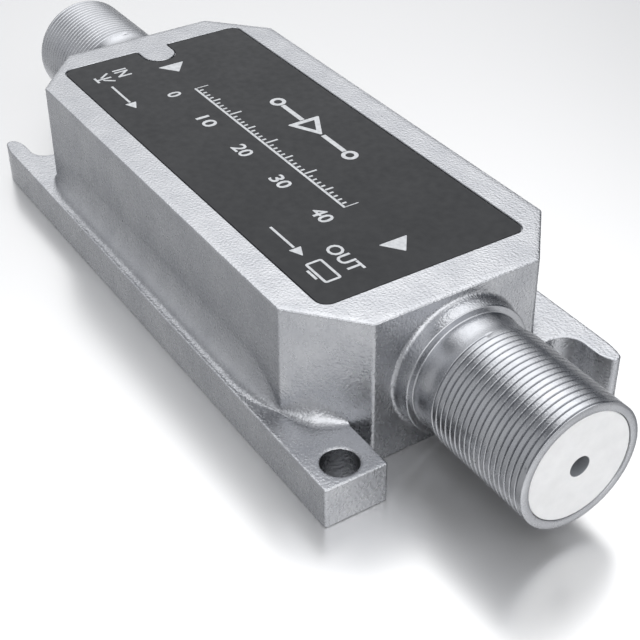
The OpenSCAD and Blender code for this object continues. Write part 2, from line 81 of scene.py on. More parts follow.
@dataclass(frozen=True)
class Outline:
    """A closed flat path, anticlockwise, made of arcs.

    Each point is its arc's centre plus the arc's radius times the outward direction. The
    radius is below zero where the path bends inwards. The mitre is the direction, longer
    than one, in which the corner itself moves as the path grows.
    """

    centre: np.ndarray
    radius: np.ndarray
    outward: np.ndarray
    mitre: np.ndarray

    @classmethod
    def rounded(cls, corners: np.ndarray, radii: np.ndarray, steps: int = 6) -> "Outline":
        """Makes a polygon whose corners are arcs.

        An arc starts at radius times the tangent of half the turn before its corner. Its
        centre lies one radius to the inner side, and its points are the centre plus the
        radius times the outward direction, which turns evenly from one side to the next.
        A corner of no radius is one point with the mitred direction of its two sides.

        Args:
            corners: The corners, n by 2, in order.
            radii: The radius at each corner.
            steps: Strips along each arc.

        Returns:
            The outline, with steps + 1 points for each corner.
        """
        corners = np.asarray(corners, float)
        radii = np.asarray(radii, float)
        into = corners - np.roll(corners, 1, axis=0)
        into /= np.linalg.norm(into, axis=1)[:, None]
        away = np.roll(into, -1, axis=0)
        heading = np.arctan2(into[:, 1], into[:, 0])
        turn = np.arctan2(
            into[:, 0] * away[:, 1] - into[:, 1] * away[:, 0], (into * away).sum(axis=1)
        )
        bend = np.sign(turn) * radii
        right = np.stack([into[:, 1], -into[:, 0]], axis=1)
        tangent = radii * np.tan(np.abs(turn) / 2)
        centre = corners - tangent[:, None] * into - bend[:, None] * right
        angle = heading[:, None] + turn[:, None] * np.linspace(0, 1, steps + 1)
        outward = np.stack([np.sin(angle), -np.cos(angle)], axis=-1)
        far_right = np.stack([away[:, 1], -away[:, 0]], axis=1)
        mitre = (right + far_right) / (1 + (right * far_right).sum(axis=1))[:, None]
        each = steps + 1
        return cls(
            np.repeat(centre, each, axis=0), np.repeat(bend, each)[:, None],
            outward.reshape(-1, 2), np.repeat(mitre, each, axis=0),
        )

    @classmethod
    def circle(cls, centre: tuple[float, float], radius: float, steps: int = CIRCLE_STEPS) -> "Outline":
        """Makes a circle: the centre plus the radius times the direction at even angles.

        Args:
            centre: The circle's centre.
            radius: Its radius.
            steps: Number of points.

        Returns:
            The outline.
        """
        angle = np.arange(steps) * 2 * math.pi / steps
        outward = np.stack([np.cos(angle), np.sin(angle)], axis=1)
        return cls(np.tile(centre, (steps, 1)), np.full((steps, 1), radius), outward, outward)

    @property
    def points(self) -> np.ndarray:
        """The path's points, n by 2."""
        return self.grown(0.0)

    def grown(self, by: float) -> np.ndarray:
        """Gives the points moved outward by a distance, or inward by a negative one.

        Where the radius would change its sign, the arc has shrunk to the mitred corner.

        Args:
            by: The distance.

        Returns:
            The points, n by 2.
        """
        grown = self.radius + by
        kept = (self.radius != 0) & (grown * self.radius >= 0)
        return self.centre + grown * np.where(kept, self.outward, self.mitre)

    def at(self, z: float, by: float = 0.0) -> np.ndarray:
        """Gives the grown outline as points in space at one height."""
        flat = self.grown(by)
        return np.column_stack([flat, np.full(len(flat), z)])


# One printed shape: its outline and the holes in it
Mark = tuple[Outline, list[Outline]]


def eight_sides(end: float, side: float, cut: float, angle: float) -> np.ndarray:
    """Gives the corners of an eight-sided plan from its walls' distances to the centre.

    A corner is where the end or long wall meets the line whose normal stands at the given
    angle to X: cos(angle) x + sin(angle) y = cut.

    Args:
        end: Distance to the end walls.
        side: Distance to the long walls.
        cut: Distance to the corner walls.
        angle: Angle between X and a corner wall's normal, in radians.

    Returns:
        The eight corners, anticlockwise from the output end.
    """
    at_end = (cut - end * math.cos(angle)) / math.sin(angle)
    at_side = (cut - side * math.sin(angle)) / math.cos(angle)
    quarter = np.array([[end, at_end], [at_side, side]])
    left = quarter[::-1] * [-1, 1]
    return np.concatenate([quarter, left, -quarter, -left])


class Skin:
    """A mesh in the making: blocks of points in millimetres and the faces over them."""

    def __init__(self) -> None:
        """Starts with no points and no faces."""
        self.blocks: list[np.ndarray] = []
        self.faces: list[np.ndarray] = []
        self.count = 0

    def add_points(self, points: np.ndarray) -> int:
        """Adds points.

        Args:
            points: The points, in any shape that ends in 3.

        Returns:
            The number of the first.
        """
        first = self.count
        self.blocks.append(np.asarray(points, float).reshape(-1, 3))
        self.count += len(self.blocks[-1])
        return first

    def loft(self, rings: np.ndarray, closed: bool = True, skip: tuple[int, ...] = ()) -> None:
        """Joins each ring of points to the next by a strip of quads.

        Args:
            rings: The rings, r by n by 3.
            closed: Whether each ring's last point joins its first.
            skip: Numbers of the columns that are left open.
        """
        rings = np.asarray(rings, float)
        rows, columns = rings.shape[:2]
        grid = self.add_points(rings) + np.arange(rows * columns).reshape(rows, columns)
        beside = np.roll(grid, -1, axis=1)
        keep = np.ones(columns, bool)
        keep[list(skip)] = False
        if not closed:
            keep[-1] = False
        quads = np.stack([grid[:-1], beside[:-1], beside[1:], grid[1:]], axis=-1)
        self.faces.append(quads[:, keep].reshape(-1, 4))

    def fill(
        self, outer: np.ndarray, holes: tuple[np.ndarray, ...] = (), axes: tuple[int, int] = (0, 1)
    ) -> None:
        """Covers the flat area inside one loop and outside the holes with triangles.

        Args:
            outer: The loop round the area, n by 3.
            holes: The loops that are left open.
            axes: The two coordinates in which the area is flat.
        """
        loops = [self._without_doubles(loop) for loop in (outer, *holes)]
        flat = [[Vector((x, y, 0.0)) for x, y in loop[:, list(axes)]] for loop in loops]
        triangles = np.array(tessellate_polygon(flat))
        first = self.add_points(np.concatenate(loops))
        self.faces.append(triangles + first)

    @staticmethod
    def _without_doubles(loop: np.ndarray) -> np.ndarray:
        """Drops each point that lies on the one before it."""
        step = np.linalg.norm(loop - np.roll(loop, 1, axis=0), axis=1)
        return loop[step * METRES_PER_MM > SAME_POINT]

    def place(self, turn_round: bool) -> "Skin":
        """Gives this skin, or the skin turned half round Z: x and y change their signs.

        Args:
            turn_round: Whether it is turned.

        Returns:
            The skin in its place.
        """
        if not turn_round:
            return self
        turned = Skin()
        turned.blocks = [block * [-1, -1, 1] for block in self.blocks]
        turned.faces = list(self.faces)
        turned.count = self.count
        return turned

    def join(self, other: "Skin") -> None:
        """Adds another skin's points and faces to this one.

        Args:
            other: The skin that is added.
        """
        first = self.count
        self.blocks += other.blocks
        self.count += other.count
        self.faces += [faces + first for faces in other.faces]

    def piece(self, name: str, finishes: list[bpy.types.Material]) -> bpy.types.Object:
        """Makes the Blender object: merged, facing outwards, and smooth between sharp edges.

        Args:
            name: The piece's name.
            finishes: Its materials, in slot order.

        Returns:
            The object, riding on the root body.
        """
        shape = bmesh.new()
        points = np.concatenate(self.blocks) * METRES_PER_MM
        plain = bpy.data.meshes.new(name)
        faces = [face for block in self.faces for face in block.tolist()]
        plain.from_pydata(points.tolist(), [], faces)
        shape.from_mesh(plain)
        bmesh.ops.remove_doubles(shape, verts=shape.verts, dist=SAME_POINT)
        bmesh.ops.dissolve_degenerate(shape, edges=shape.edges, dist=SAME_POINT)
        bmesh.ops.recalc_face_normals(shape, faces=shape.faces)
        open_edges = sum(1 for edge in shape.edges if not edge.is_manifold)
        shape.to_mesh(plain)
        shape.free()
        plain.shade_smooth()
        plain.set_sharp_from_angle(angle=math.radians(SHARP_TURN))
        for finish in finishes:
            plain.materials.append(finish)
        made = bpy.data.objects.new(name, plain)
        bpy.context.scene.collection.objects.link(made)
        weighted = made.modifiers.new("flat faces lead", "WEIGHTED_NORMAL")
        weighted.weight = FLAT_FACE_WEIGHT
        weighted.keep_sharp = True
        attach(made, "root")
        log.info("%s: %d faces, %d open edges", name, len(plain.polygons), open_edges)
        return made


def arc(start: float, stop: float, strips: int = ROUND_STRIPS) -> tuple[np.ndarray, np.ndarray]:
    """Gives the cosine and sine at even angles between two angles in degrees."""
    angle = np.radians(np.linspace(start, stop, strips + 1))
    return np.cos(angle), np.sin(angle)


def edge_section(
    top: float, reach: float, drop: float, edge: float
) -> tuple[np.ndarray, np.ndarray]:
    """Gives the section of a face's edge: a faint parabolic fall, then a tight round.

    The fall is the drop times the squared share of the way, and the round takes up its
    slope and turns to upright.

    Args:
        top: Height of the flat face.
        reach: Distance from the side to where the fall starts.
        drop: Depth of the fall.
        edge: Radius of the round.

    Returns:
        How far the outline grows, which is never above 0, and the heights.
    """
    share = np.linspace(0, 1, 5)[:-1]
    cos, sin = arc(90 - math.degrees(math.atan2(2 * drop, reach - edge)), 0)
    growth = np.concatenate([-reach + (reach - edge * (1 - cos[0])) * share, edge * (cos - 1)])
    height = np.concatenate([top - drop * share**2, top - drop - edge * (sin[0] - sin)])
    return growth, height


def face_centres(piece: bpy.types.Object) -> np.ndarray:
    """Gives the middle of each of a piece's faces.

    Args:
        piece: The piece.

    Returns:
        The middles in millimetres, n by 3.
    """
    centres = np.empty(len(piece.data.polygons) * 3, np.float32)
    piece.data.polygons.foreach_get("center", centres)
    return centres.reshape(-1, 3) / METRES_PER_MM


def wear_second(piece: bpy.types.Object, chosen: np.ndarray) -> None:
    """Gives the chosen faces the piece's second finish."""
    piece.data.polygons.foreach_set("material_index", chosen.astype(np.int32))


def about_x(along: np.ndarray, radius: np.ndarray, angle: np.ndarray, axis_z: float) -> np.ndarray:
    """Places points by distance along X, radius and angle: y = r cos a, z = axis + r sin a."""
    along, radius, angle = np.broadcast_arrays(along, radius, angle)
    return np.stack([along, radius * np.cos(angle), axis_z + radius * np.sin(angle)], axis=-1)


def about_z(
    radius: np.ndarray, z: np.ndarray, centre: tuple[float, float], steps: int = CIRCLE_STEPS
) -> np.ndarray:
    """Turns a profile about an upright axis: x and y are the centre plus r cos a and r sin a.

    Args:
        radius: The profile's radii.
        z: Its heights.
        centre: The axis.
        steps: Number of points round it.

    Returns:
        One ring of points for each point of the profile.
    """
    angle = np.arange(steps) * 2 * math.pi / steps
    radius, z = np.asarray(radius, float)[:, None], np.asarray(z, float)[:, None]
    x, y = centre[0] + radius * np.cos(angle), centre[1] + radius * np.sin(angle)
    return np.stack([x, y, np.broadcast_to(z, x.shape)], axis=-1)


# Finishes


class Recipe:
    """Short calls that lay out one material's nodes."""

    def __init__(self, name: str) -> None:
        """Starts a material with a shader and its output.

        Args:
            name: The material's name.
        """
        self.material = bpy.data.materials.new(name)
        self.material.use_nodes = True
        self.tree = self.material.node_tree
        self.tree.nodes.clear()
        self.shader = self.node("ShaderNodeBsdfPrincipled")
        output = self.node("ShaderNodeOutputMaterial")
        self.link(self.shader.outputs["BSDF"], output.inputs["Surface"])
        self.coordinates = self.node("ShaderNodeTexCoord").outputs["Object"]

    def node(self, kind: str, **settings: object) -> bpy.types.Node:
        """Adds a node.

        Args:
            kind: The node's type.
            settings: Its own properties.

        Returns:
            The node.
        """
        made = self.tree.nodes.new(kind)
        for name, value in settings.items():
            setattr(made, name, value)
        return made

    def link(self, source: Socket, target: Socket) -> None:
        """Joins two sockets."""
        self.tree.links.new(source, target)

    def set(self, **values: object) -> None:
        """Sets the shader's own sockets, with _ for a space in a name."""
        for name, value in values.items():
            self.shader.inputs[name.replace("_", " ")].default_value = value

    def stretched(self, scale: Triple) -> Socket:
        """Gives object coordinates scaled along each axis.

        Args:
            scale: The factor along each axis.

        Returns:
            The coordinates.
        """
        mapping = self.node("ShaderNodeMapping")
        mapping.inputs["Scale"].default_value = scale
        self.link(self.coordinates, mapping.inputs["Vector"])
        return mapping.outputs["Vector"]

    def noise(
        self, grain_mm: float, detail: float = 3.0, roughness: float = 0.5, at: Socket | None = None
    ) -> Socket:
        """Gives cloudy noise.

        Args:
            grain_mm: Size of one grain, in millimetres.
            detail: Number of finer layers.
            roughness: Share of the finer layers.
            at: The coordinates, or None for the object's own.

        Returns:
            The noise's factor.
        """
        made = self.node("ShaderNodeTexNoise")
        made.inputs["Scale"].default_value = 1 / (grain_mm * METRES_PER_MM)
        made.inputs["Detail"].default_value = detail
        made.inputs["Roughness"].default_value = roughness
        self.link(at or self.coordinates, made.inputs["Vector"])
        return made.outputs["Fac"]

    def cells(self, grain_mm: float) -> Socket:
        """Gives the smooth distance to scattered points, for a speckled surface.

        Args:
            grain_mm: Size of one cell, in millimetres.

        Returns:
            The distance.
        """
        made = self.node("ShaderNodeTexVoronoi", feature="SMOOTH_F1")
        made.inputs["Scale"].default_value = 1 / (grain_mm * METRES_PER_MM)
        self.link(self.coordinates, made.inputs["Vector"])
        return made.outputs["Distance"]

    def ramp(
        self, factor: Socket, low: float, high: float, from_value: Colour | float, to_value: Colour | float
    ) -> Socket:
        """Maps a factor to a colour or a number between two stops.

        Args:
            factor: The factor that is read.
            low: Factor at the first stop.
            high: Factor at the second stop.
            from_value: Colour or number at the first stop.
            to_value: Colour or number at the second stop.

        Returns:
            The mapped colour or number.
        """
        if isinstance(from_value, tuple):
            made = self.node("ShaderNodeValToRGB")
            ends = made.color_ramp.elements
            ends[0].position, ends[1].position = low, high
            ends[0].color, ends[1].color = (*from_value, 1.0), (*to_value, 1.0)
            self.link(factor, made.inputs["Fac"])
            return made.outputs["Color"]
        made = self.node("ShaderNodeMapRange", clamp=True)
        ends = {"From Min": low, "From Max": high, "To Min": from_value, "To Max": to_value}
        for name, value in ends.items():
            made.inputs[name].default_value = value
        self.link(factor, made.inputs["Value"])
        return made.outputs["Result"]

    def bump(self, height: Socket, depth_mm: float, over: Socket | None = None) -> Socket:
        """Turns a height into a bent normal.

        Args:
            height: The height, from 0 to 1.
            depth_mm: The height's size in millimetres.
            over: A normal that this bump lies on.

        Returns:
            The bent normal.
        """
        made = self.node("ShaderNodeBump")
        made.inputs["Distance"].default_value = depth_mm * METRES_PER_MM
        made.inputs["Strength"].default_value = 1.0
        self.link(height, made.inputs["Height"])
        if over is not None:
            self.link(over, made.inputs["Normal"])
        return made.outputs["Normal"]

    def colour(self, source: Socket) -> None:
        """Leads a colour to the shader."""
        self.link(source, self.shader.inputs["Base Color"])

    def gloss(self, source: Socket) -> None:
        """Leads a roughness to the shader."""
        self.link(source, self.shader.inputs["Roughness"])

    def relief(self, source: Socket) -> None:
        """Leads a normal to the shader."""
        self.link(source, self.shader.inputs["Normal"])


@dataclass(frozen=True)
class CastMetal:
    """Sand-grained die-cast metal: soft pebbles, finer grain and cloudy greys."""

    name: str
    dark: Colour = (0.390, 0.398, 0.418)
    light: Colour = (0.450, 0.457, 0.474)
    pebble_mm: float = 0.18
    pebble_depth_mm: float = 0.042
    grain_mm: float = 0.07
    grain_depth_mm: float = 0.010
    smooth: float = 0.22
    rough: float = 0.30
    cloud_mm: float = 2.4
    cloud_ends: tuple[float, float] = (0.35, 0.68)
    gloss_mm: float = 0.5

    def material(self) -> bpy.types.Material:
        """Lays out the material.

        Returns:
            The material.
        """
        made = Recipe(self.name)
        made.set(Metallic=1.0)
        made.colour(made.ramp(made.noise(self.cloud_mm, 4), *self.cloud_ends, self.dark, self.light))
        made.gloss(made.ramp(made.noise(self.gloss_mm, 3), NOISE_LOW, NOISE_HIGH, self.smooth, self.rough))
        pebbles = made.bump(made.noise(self.pebble_mm, 2, 0.45), self.pebble_depth_mm)
        made.relief(made.bump(made.noise(self.grain_mm, 2), self.grain_depth_mm, over=pebbles))
        return made.material


@dataclass(frozen=True)
class MouldedPlastic:
    """Moulded plastic with a faint cloud in its colour and a fine satin skin."""

    name: str
    dark: Colour
    light: Colour
    roughness: tuple[float, float] = (0.34, 0.46)
    skin_mm: float = 0.12
    skin_depth_mm: float = 0.002
    under_skin: float = 0.0
    under_skin_radius: Triple = (1.0, 0.95, 0.9)
    under_skin_mm: float = 0.6
    cloud_mm: float = 1.2
    gloss_mm: float = 0.4

    def material(self) -> bpy.types.Material:
        """Lays out the material.

        Returns:
            The material.
        """
        made = Recipe(self.name)
        if self.under_skin:
            made.set(Subsurface_Weight=self.under_skin, Subsurface_Radius=self.under_skin_radius)
            made.set(Subsurface_Scale=self.under_skin_mm * METRES_PER_MM)
        made.colour(made.ramp(made.noise(self.cloud_mm, 3), NOISE_LOW, NOISE_HIGH, self.dark, self.light))
        made.gloss(made.ramp(made.noise(self.gloss_mm, 2), NOISE_LOW, NOISE_HIGH, *self.roughness))
        made.relief(made.bump(made.noise(self.skin_mm, 2), self.skin_depth_mm))
        return made.material


@dataclass(frozen=True)
class RolledMetal:
    """Sheet, wire or turned metal, with fine lines drawn along one axis."""

    name: str
    dark: Colour
    light: Colour
    lines: Triple = (0.04, 1.0, 1.0)
    line_mm: float = 0.06
    line_depth_mm: float = 0.003
    roughness: tuple[float, float] = (0.24, 0.4)
    cloud_mm: float = 1.5

    def material(self) -> bpy.types.Material:
        """Lays out the material.

        Returns:
            The material.
        """
        made = Recipe(self.name)
        made.set(Metallic=1.0)
        drawn = made.noise(self.line_mm, 3, 0.6, made.stretched(self.lines))
        made.colour(made.ramp(made.noise(self.cloud_mm, 4), NOISE_LOW, NOISE_HIGH, self.dark, self.light))
        made.gloss(made.ramp(drawn, NOISE_LOW, NOISE_HIGH, *self.roughness))
        made.relief(made.bump(drawn, self.line_depth_mm))
        return made.material


@dataclass(frozen=True)
class PrintedSheet:
    """The label's dark lacquer over thin metal: a faint peel and a soft sheen."""

    name: str
    dark: Colour = (0.013, 0.014, 0.016)
    light: Colour = (0.020, 0.021, 0.023)
    roughness: tuple[float, float] = (0.44, 0.54)
    ior: float = 1.45
    shine: float = 0.26
    cloud_mm: float = 6.0
    gloss_mm: float = 0.7
    peel_mm: float = 0.8
    peel_depth_mm: float = 0.004
    skin_mm: float = 0.08
    skin_depth_mm: float = 0.0012

    def material(self) -> bpy.types.Material:
        """Lays out the material.

        Returns:
            The material.
        """
        made = Recipe(self.name)
        made.set(IOR=self.ior, Specular_IOR_Level=self.shine)
        made.colour(made.ramp(made.noise(self.cloud_mm, 3), NOISE_LOW, NOISE_HIGH, self.dark, self.light))
        made.gloss(made.ramp(made.noise(self.gloss_mm, 3), NOISE_LOW, NOISE_HIGH, *self.roughness))
        peel = made.bump(made.noise(self.peel_mm, 2), self.peel_depth_mm)
        made.relief(made.bump(made.noise(self.skin_mm, 2), self.skin_depth_mm, over=peel))
        return made.material


@dataclass(frozen=True)
class ScreenInk:
    """Pale screen-printed ink with a fine, slightly uneven film."""

    name: str
    dark: Colour = (0.43, 0.44, 0.455)
    light: Colour = (0.56, 0.57, 0.585)
    roughness: tuple[float, float] = (0.45, 0.6)
    cloud_mm: float = 0.35
    gloss_mm: float = 0.2
    film_mm: float = 0.05
    film_depth_mm: float = 0.001

    def material(self) -> bpy.types.Material:
        """Lays out the material.

        Returns:
            The material.
        """
        made = Recipe(self.name)
        made.colour(made.ramp(made.noise(self.cloud_mm, 3), NOISE_LOW, NOISE_HIGH, self.dark, self.light))
        made.gloss(made.ramp(made.noise(self.gloss_mm, 2), NOISE_LOW, NOISE_HIGH, *self.roughness))
        made.relief(made.bump(made.noise(self.film_mm, 2), self.film_depth_mm))
        return made.material


@dataclass(frozen=True)
class Laminate:
    """Green glass-fibre board: crossed weave under lacquer."""

    name: str
    dark: Colour = (0.010, 0.085, 0.035)
    light: Colour = (0.022, 0.150, 0.062)
    roughness: tuple[float, float] = (0.25, 0.4)
    thread_mm: float = 0.45
    thread_wave: float = 0.4
    weave_depth_mm: float = 0.004
    gloss_mm: float = 0.6
    wave_share: float = 0.31
    weave_ends: tuple[float, float] = (0.05, 0.8)

    def material(self) -> bpy.types.Material:
        """Lays out the material.

        Returns:
            The material.
        """
        made = Recipe(self.name)
        weave = []
        for axis in ("X", "Y"):
            wave = made.node("ShaderNodeTexWave", bands_direction=axis)
            wave.inputs["Scale"].default_value = self.wave_share / (self.thread_mm * METRES_PER_MM)
            wave.inputs["Distortion"].default_value = self.thread_wave
            made.link(made.coordinates, wave.inputs["Vector"])
            weave.append(wave.outputs["Fac"])
        crossed = made.node("ShaderNodeMath", operation="MULTIPLY")
        made.link(weave[0], crossed.inputs[0])
        made.link(weave[1], crossed.inputs[1])
        height = crossed.outputs["Value"]
        made.colour(made.ramp(height, *self.weave_ends, self.dark, self.light))
        made.gloss(made.ramp(made.noise(self.gloss_mm, 2), NOISE_LOW, NOISE_HIGH, *self.roughness))
        made.relief(made.bump(height, self.weave_depth_mm))
        return made.material


@dataclass(frozen=True)
class FiredBody:
    """Ceramic, ferrite, film or solder: speckled, with small pits."""

    name: str
    dark: Colour
    light: Colour
    speck_mm: float = 0.10
    pit_depth_mm: float = 0.006
    roughness: tuple[float, float] = (0.4, 0.65)
    metallic: float = 0.0
    gloss_mm: float = 0.3
    speck_ends: tuple[float, float] = (0.15, 0.75)

    def material(self) -> bpy.types.Material:
        """Lays out the material.

        Returns:
            The material.
        """
        made = Recipe(self.name)
        made.set(Metallic=self.metallic)
        specks = made.cells(self.speck_mm)
        made.colour(made.ramp(specks, *self.speck_ends, self.dark, self.light))
        made.gloss(made.ramp(made.noise(self.gloss_mm, 3), NOISE_LOW, NOISE_HIGH, *self.roughness))
        made.relief(made.bump(specks, self.pit_depth_mm))
        return made.material


Finish = CastMetal | MouldedPlastic | RolledMetal | PrintedSheet | ScreenInk | Laminate | FiredBody


# The die casting


@dataclass
class Port:
    """One threaded port, worked out for the output end and turned round for the input."""

    axis_z: float = 6.05
    mouth: float = 36.7
    collar_r: float = 5.17
    collar_end: float = 25.33
    collar_edge_r: float = 0.11
    root_round: float = 0.35
    neck_r: float = 4.6
    neck_foot_r: float = 0.11
    neck_ramp: float = 1.3
    crest_r: float = 4.7575
    thread_start: float = 27.3
    thread_end: float = 36.62
    pitch: float = 0.4985
    turns: float = 18.19
    first_groove: float = 27.49
    start_angle_deg: float = 92.0
    groove_half: float = 0.076
    groove_depth: float = 0.16
    fade_turns: float = 0.015
    # Parts of the groove's half width: its flat bottom, its wall and its lip, and the
    # depth's share left at the top of the wall
    groove_flat: float = 0.22
    groove_wall: float = 0.8
    groove_lip: float = 1.2
    wall_share: float = 0.22
    root_strips: int = 9
    neck_start: float = 0.5
    neck_rings: int = 7
    # Small breaks of the edges: the thread's end, the rim and the seat
    start_break: tuple[float, float] = (0.015, 0.008)
    rim_break: tuple[float, float, float] = (0.015, 0.02, 0.03)
    seat_break: tuple[float, float] = (0.06, 0.06)
    seat_turn: tuple[float, float] = (0.02, 0.015)
    finish_back: float = 0.3
    finish_beside: float = 0.2
    rim_r: float = 4.6025
    seat_r: float = 4.15
    seat_depth: float = 1.1
    bore_r: float = 3.3
    bore_end: float = 24.6
    wall_hole_r: float = 2.1
    steps: int = 128

    def angles(self) -> np.ndarray:
        """Gives the even angles round the port, with the first repeated at the end."""
        return np.arange(self.steps + 1) * 2 * math.pi / self.steps

    def foot(self, wall: "Casting") -> np.ndarray:
        """Gives the ring where the port's root meets the drafted end wall.

        Args:
            wall: The casting that the port stands on.

        Returns:
            The ring.
        """
        angle = self.angles()
        radius = self.collar_r + self.root_round
        z = self.axis_z + radius * np.sin(angle)
        return about_x(wall.end_at(z), radius, angle, self.axis_z)

    def groove_share(self, along: np.ndarray, angle: np.ndarray) -> np.ndarray:
        """Gives the groove's depth as a share, at a place on the thread.

        The turn number is the distance from the first groove over the pitch, less the
        angle's share of a turn. The nearest whole turn is the groove, and the distance to
        it goes through the groove's section. The share fades over the first and last part
        of a turn.

        Args:
            along: Distance along X.
            angle: Angle round the port, in radians.

        Returns:
            Numbers from 0 on the crest to 1 at the bottom.
        """
        turned = (angle - math.radians(self.start_angle_deg)) / (2 * math.pi)
        turn = (along - self.first_groove) / self.pitch - turned
        nearest = np.round(turn)
        off = np.abs(turn - nearest) * self.pitch / self.groove_half
        gone = nearest + turned
        fade = np.clip(gone / self.fade_turns, 0, 1)
        fade = fade * np.clip((self.turns - gone) / self.fade_turns, 0, 1)
        end = np.clip((self.thread_end - along) / self.groove_half, 0, 1)
        places = [self.groove_flat, self.groove_wall, self.groove_lip]
        return np.interp(off, places, [1.0, self.wall_share, 0.0]) * fade * end

    def crest_at(self, along: np.ndarray) -> np.ndarray:
        """Gives the crest's radius: it climbs from the neck by a smooth step."""
        share = np.clip((along - self.thread_start + self.neck_ramp / 2) / self.neck_ramp, 0, 1)
        return self.neck_r + (self.crest_r - self.neck_r) * share**2 * (3 - 2 * share)

    def thread(self) -> np.ndarray:
        """Gives the thread's rings, which follow the groove round the port.

        A ring lies at the first groove plus whole pitches plus its place in the groove's
        section, and moves one pitch along X in a turn. Its ends are held between the
        thread's two ends, where the rings fall together into a plain circle.

        Returns:
            The rings.
        """
        half = np.array([self.groove_flat, self.groove_wall, self.groove_lip])
        section = np.concatenate([-half[::-1], half]) * self.groove_half
        whole = np.arange(-2, math.ceil((self.thread_end - self.first_groove) / self.pitch) + 3)
        starts = (self.first_groove + whole[:, None] * self.pitch + section).reshape(-1, 1)
        angle = self.angles()
        turned = (angle - math.radians(self.start_angle_deg)) / (2 * math.pi)
        along = np.clip(starts + turned * self.pitch, self.thread_start, self.thread_end)
        radius = self.crest_at(along) - self.groove_depth * self.groove_share(along, angle)
        return about_x(along, radius, angle, self.axis_z)

    def outside(self, wall: "Casting") -> np.ndarray:
        """Gives the rings of the root, the collar and the neck, up to the thread.

        Args:
            wall: The casting whose end wall the root meets.

        Returns:
            The rings.
        """
        angle = self.angles()
        cos, sin = arc(90, 0, self.root_strips)
        root = self.root_round
        foot = wall.end_at(self.axis_z + (self.collar_r + root) * np.sin(angle))
        root_along = foot + root * (1 - sin[:, None])
        root_rings = about_x(root_along, self.collar_r + root * (1 - cos[:, None]), angle, self.axis_z)
        edge, face = self.collar_edge_r, self.collar_end
        ecos, esin = arc(90, 0)
        fcos, fsin = arc(180, 270)
        neck = np.linspace(face + self.neck_start, self.thread_start, self.neck_rings)
        along = np.concatenate([
            face - edge + edge * ecos, face + self.neck_foot_r + self.neck_foot_r * fcos, neck,
        ])
        radius = np.concatenate([
            self.collar_r - edge + edge * esin,
            self.neck_r + self.neck_foot_r + self.neck_foot_r * fsin,
            self.crest_at(neck),
        ])
        rest = about_x(along[:, None], radius[:, None], angle, self.axis_z)
        return np.concatenate([root_rings, rest])

    def mouth_rings(self, inner_end: float) -> np.ndarray:
        """Gives the rings of the rim, the seat and the bores, back to the cavity.

        Args:
            inner_end: Distance to the cavity's end wall.

        Returns:
            The rings, from the thread's end inwards.
        """
        seat = self.mouth - self.seat_depth
        start, rim = self.start_break, self.rim_break
        profile = np.array([
            [self.thread_end, self.crest_r], [self.thread_end + start[0], self.crest_r - start[1]],
            [self.mouth - rim[0], self.rim_r + rim[1]], [self.mouth, self.rim_r - rim[2]],
            [self.mouth, self.seat_r + self.seat_break[1]],
            [self.mouth - self.seat_turn[0], self.seat_r + self.seat_turn[1]],
            [self.mouth - self.seat_break[0], self.seat_r],
            [seat, self.seat_r], [seat, self.bore_r], [self.bore_end, self.bore_r],
            [self.bore_end, self.wall_hole_r], [inner_end, self.wall_hole_r],
        ])
        return about_x(profile[:, :1], profile[:, 1:], self.angles(), self.axis_z)

    def skin(self, wall: "Casting") -> Skin:
        """Makes the output port's skin, from the end wall to the cavity.

        Args:
            wall: The casting that the port stands on.

        Returns:
            The skin.
        """
        made = Skin()
        made.loft(self.outside(wall), closed=False)
        made.loft(self.thread(), closed=False)
        made.loft(self.mouth_rings(wall.cavity_end), closed=False)
        return made


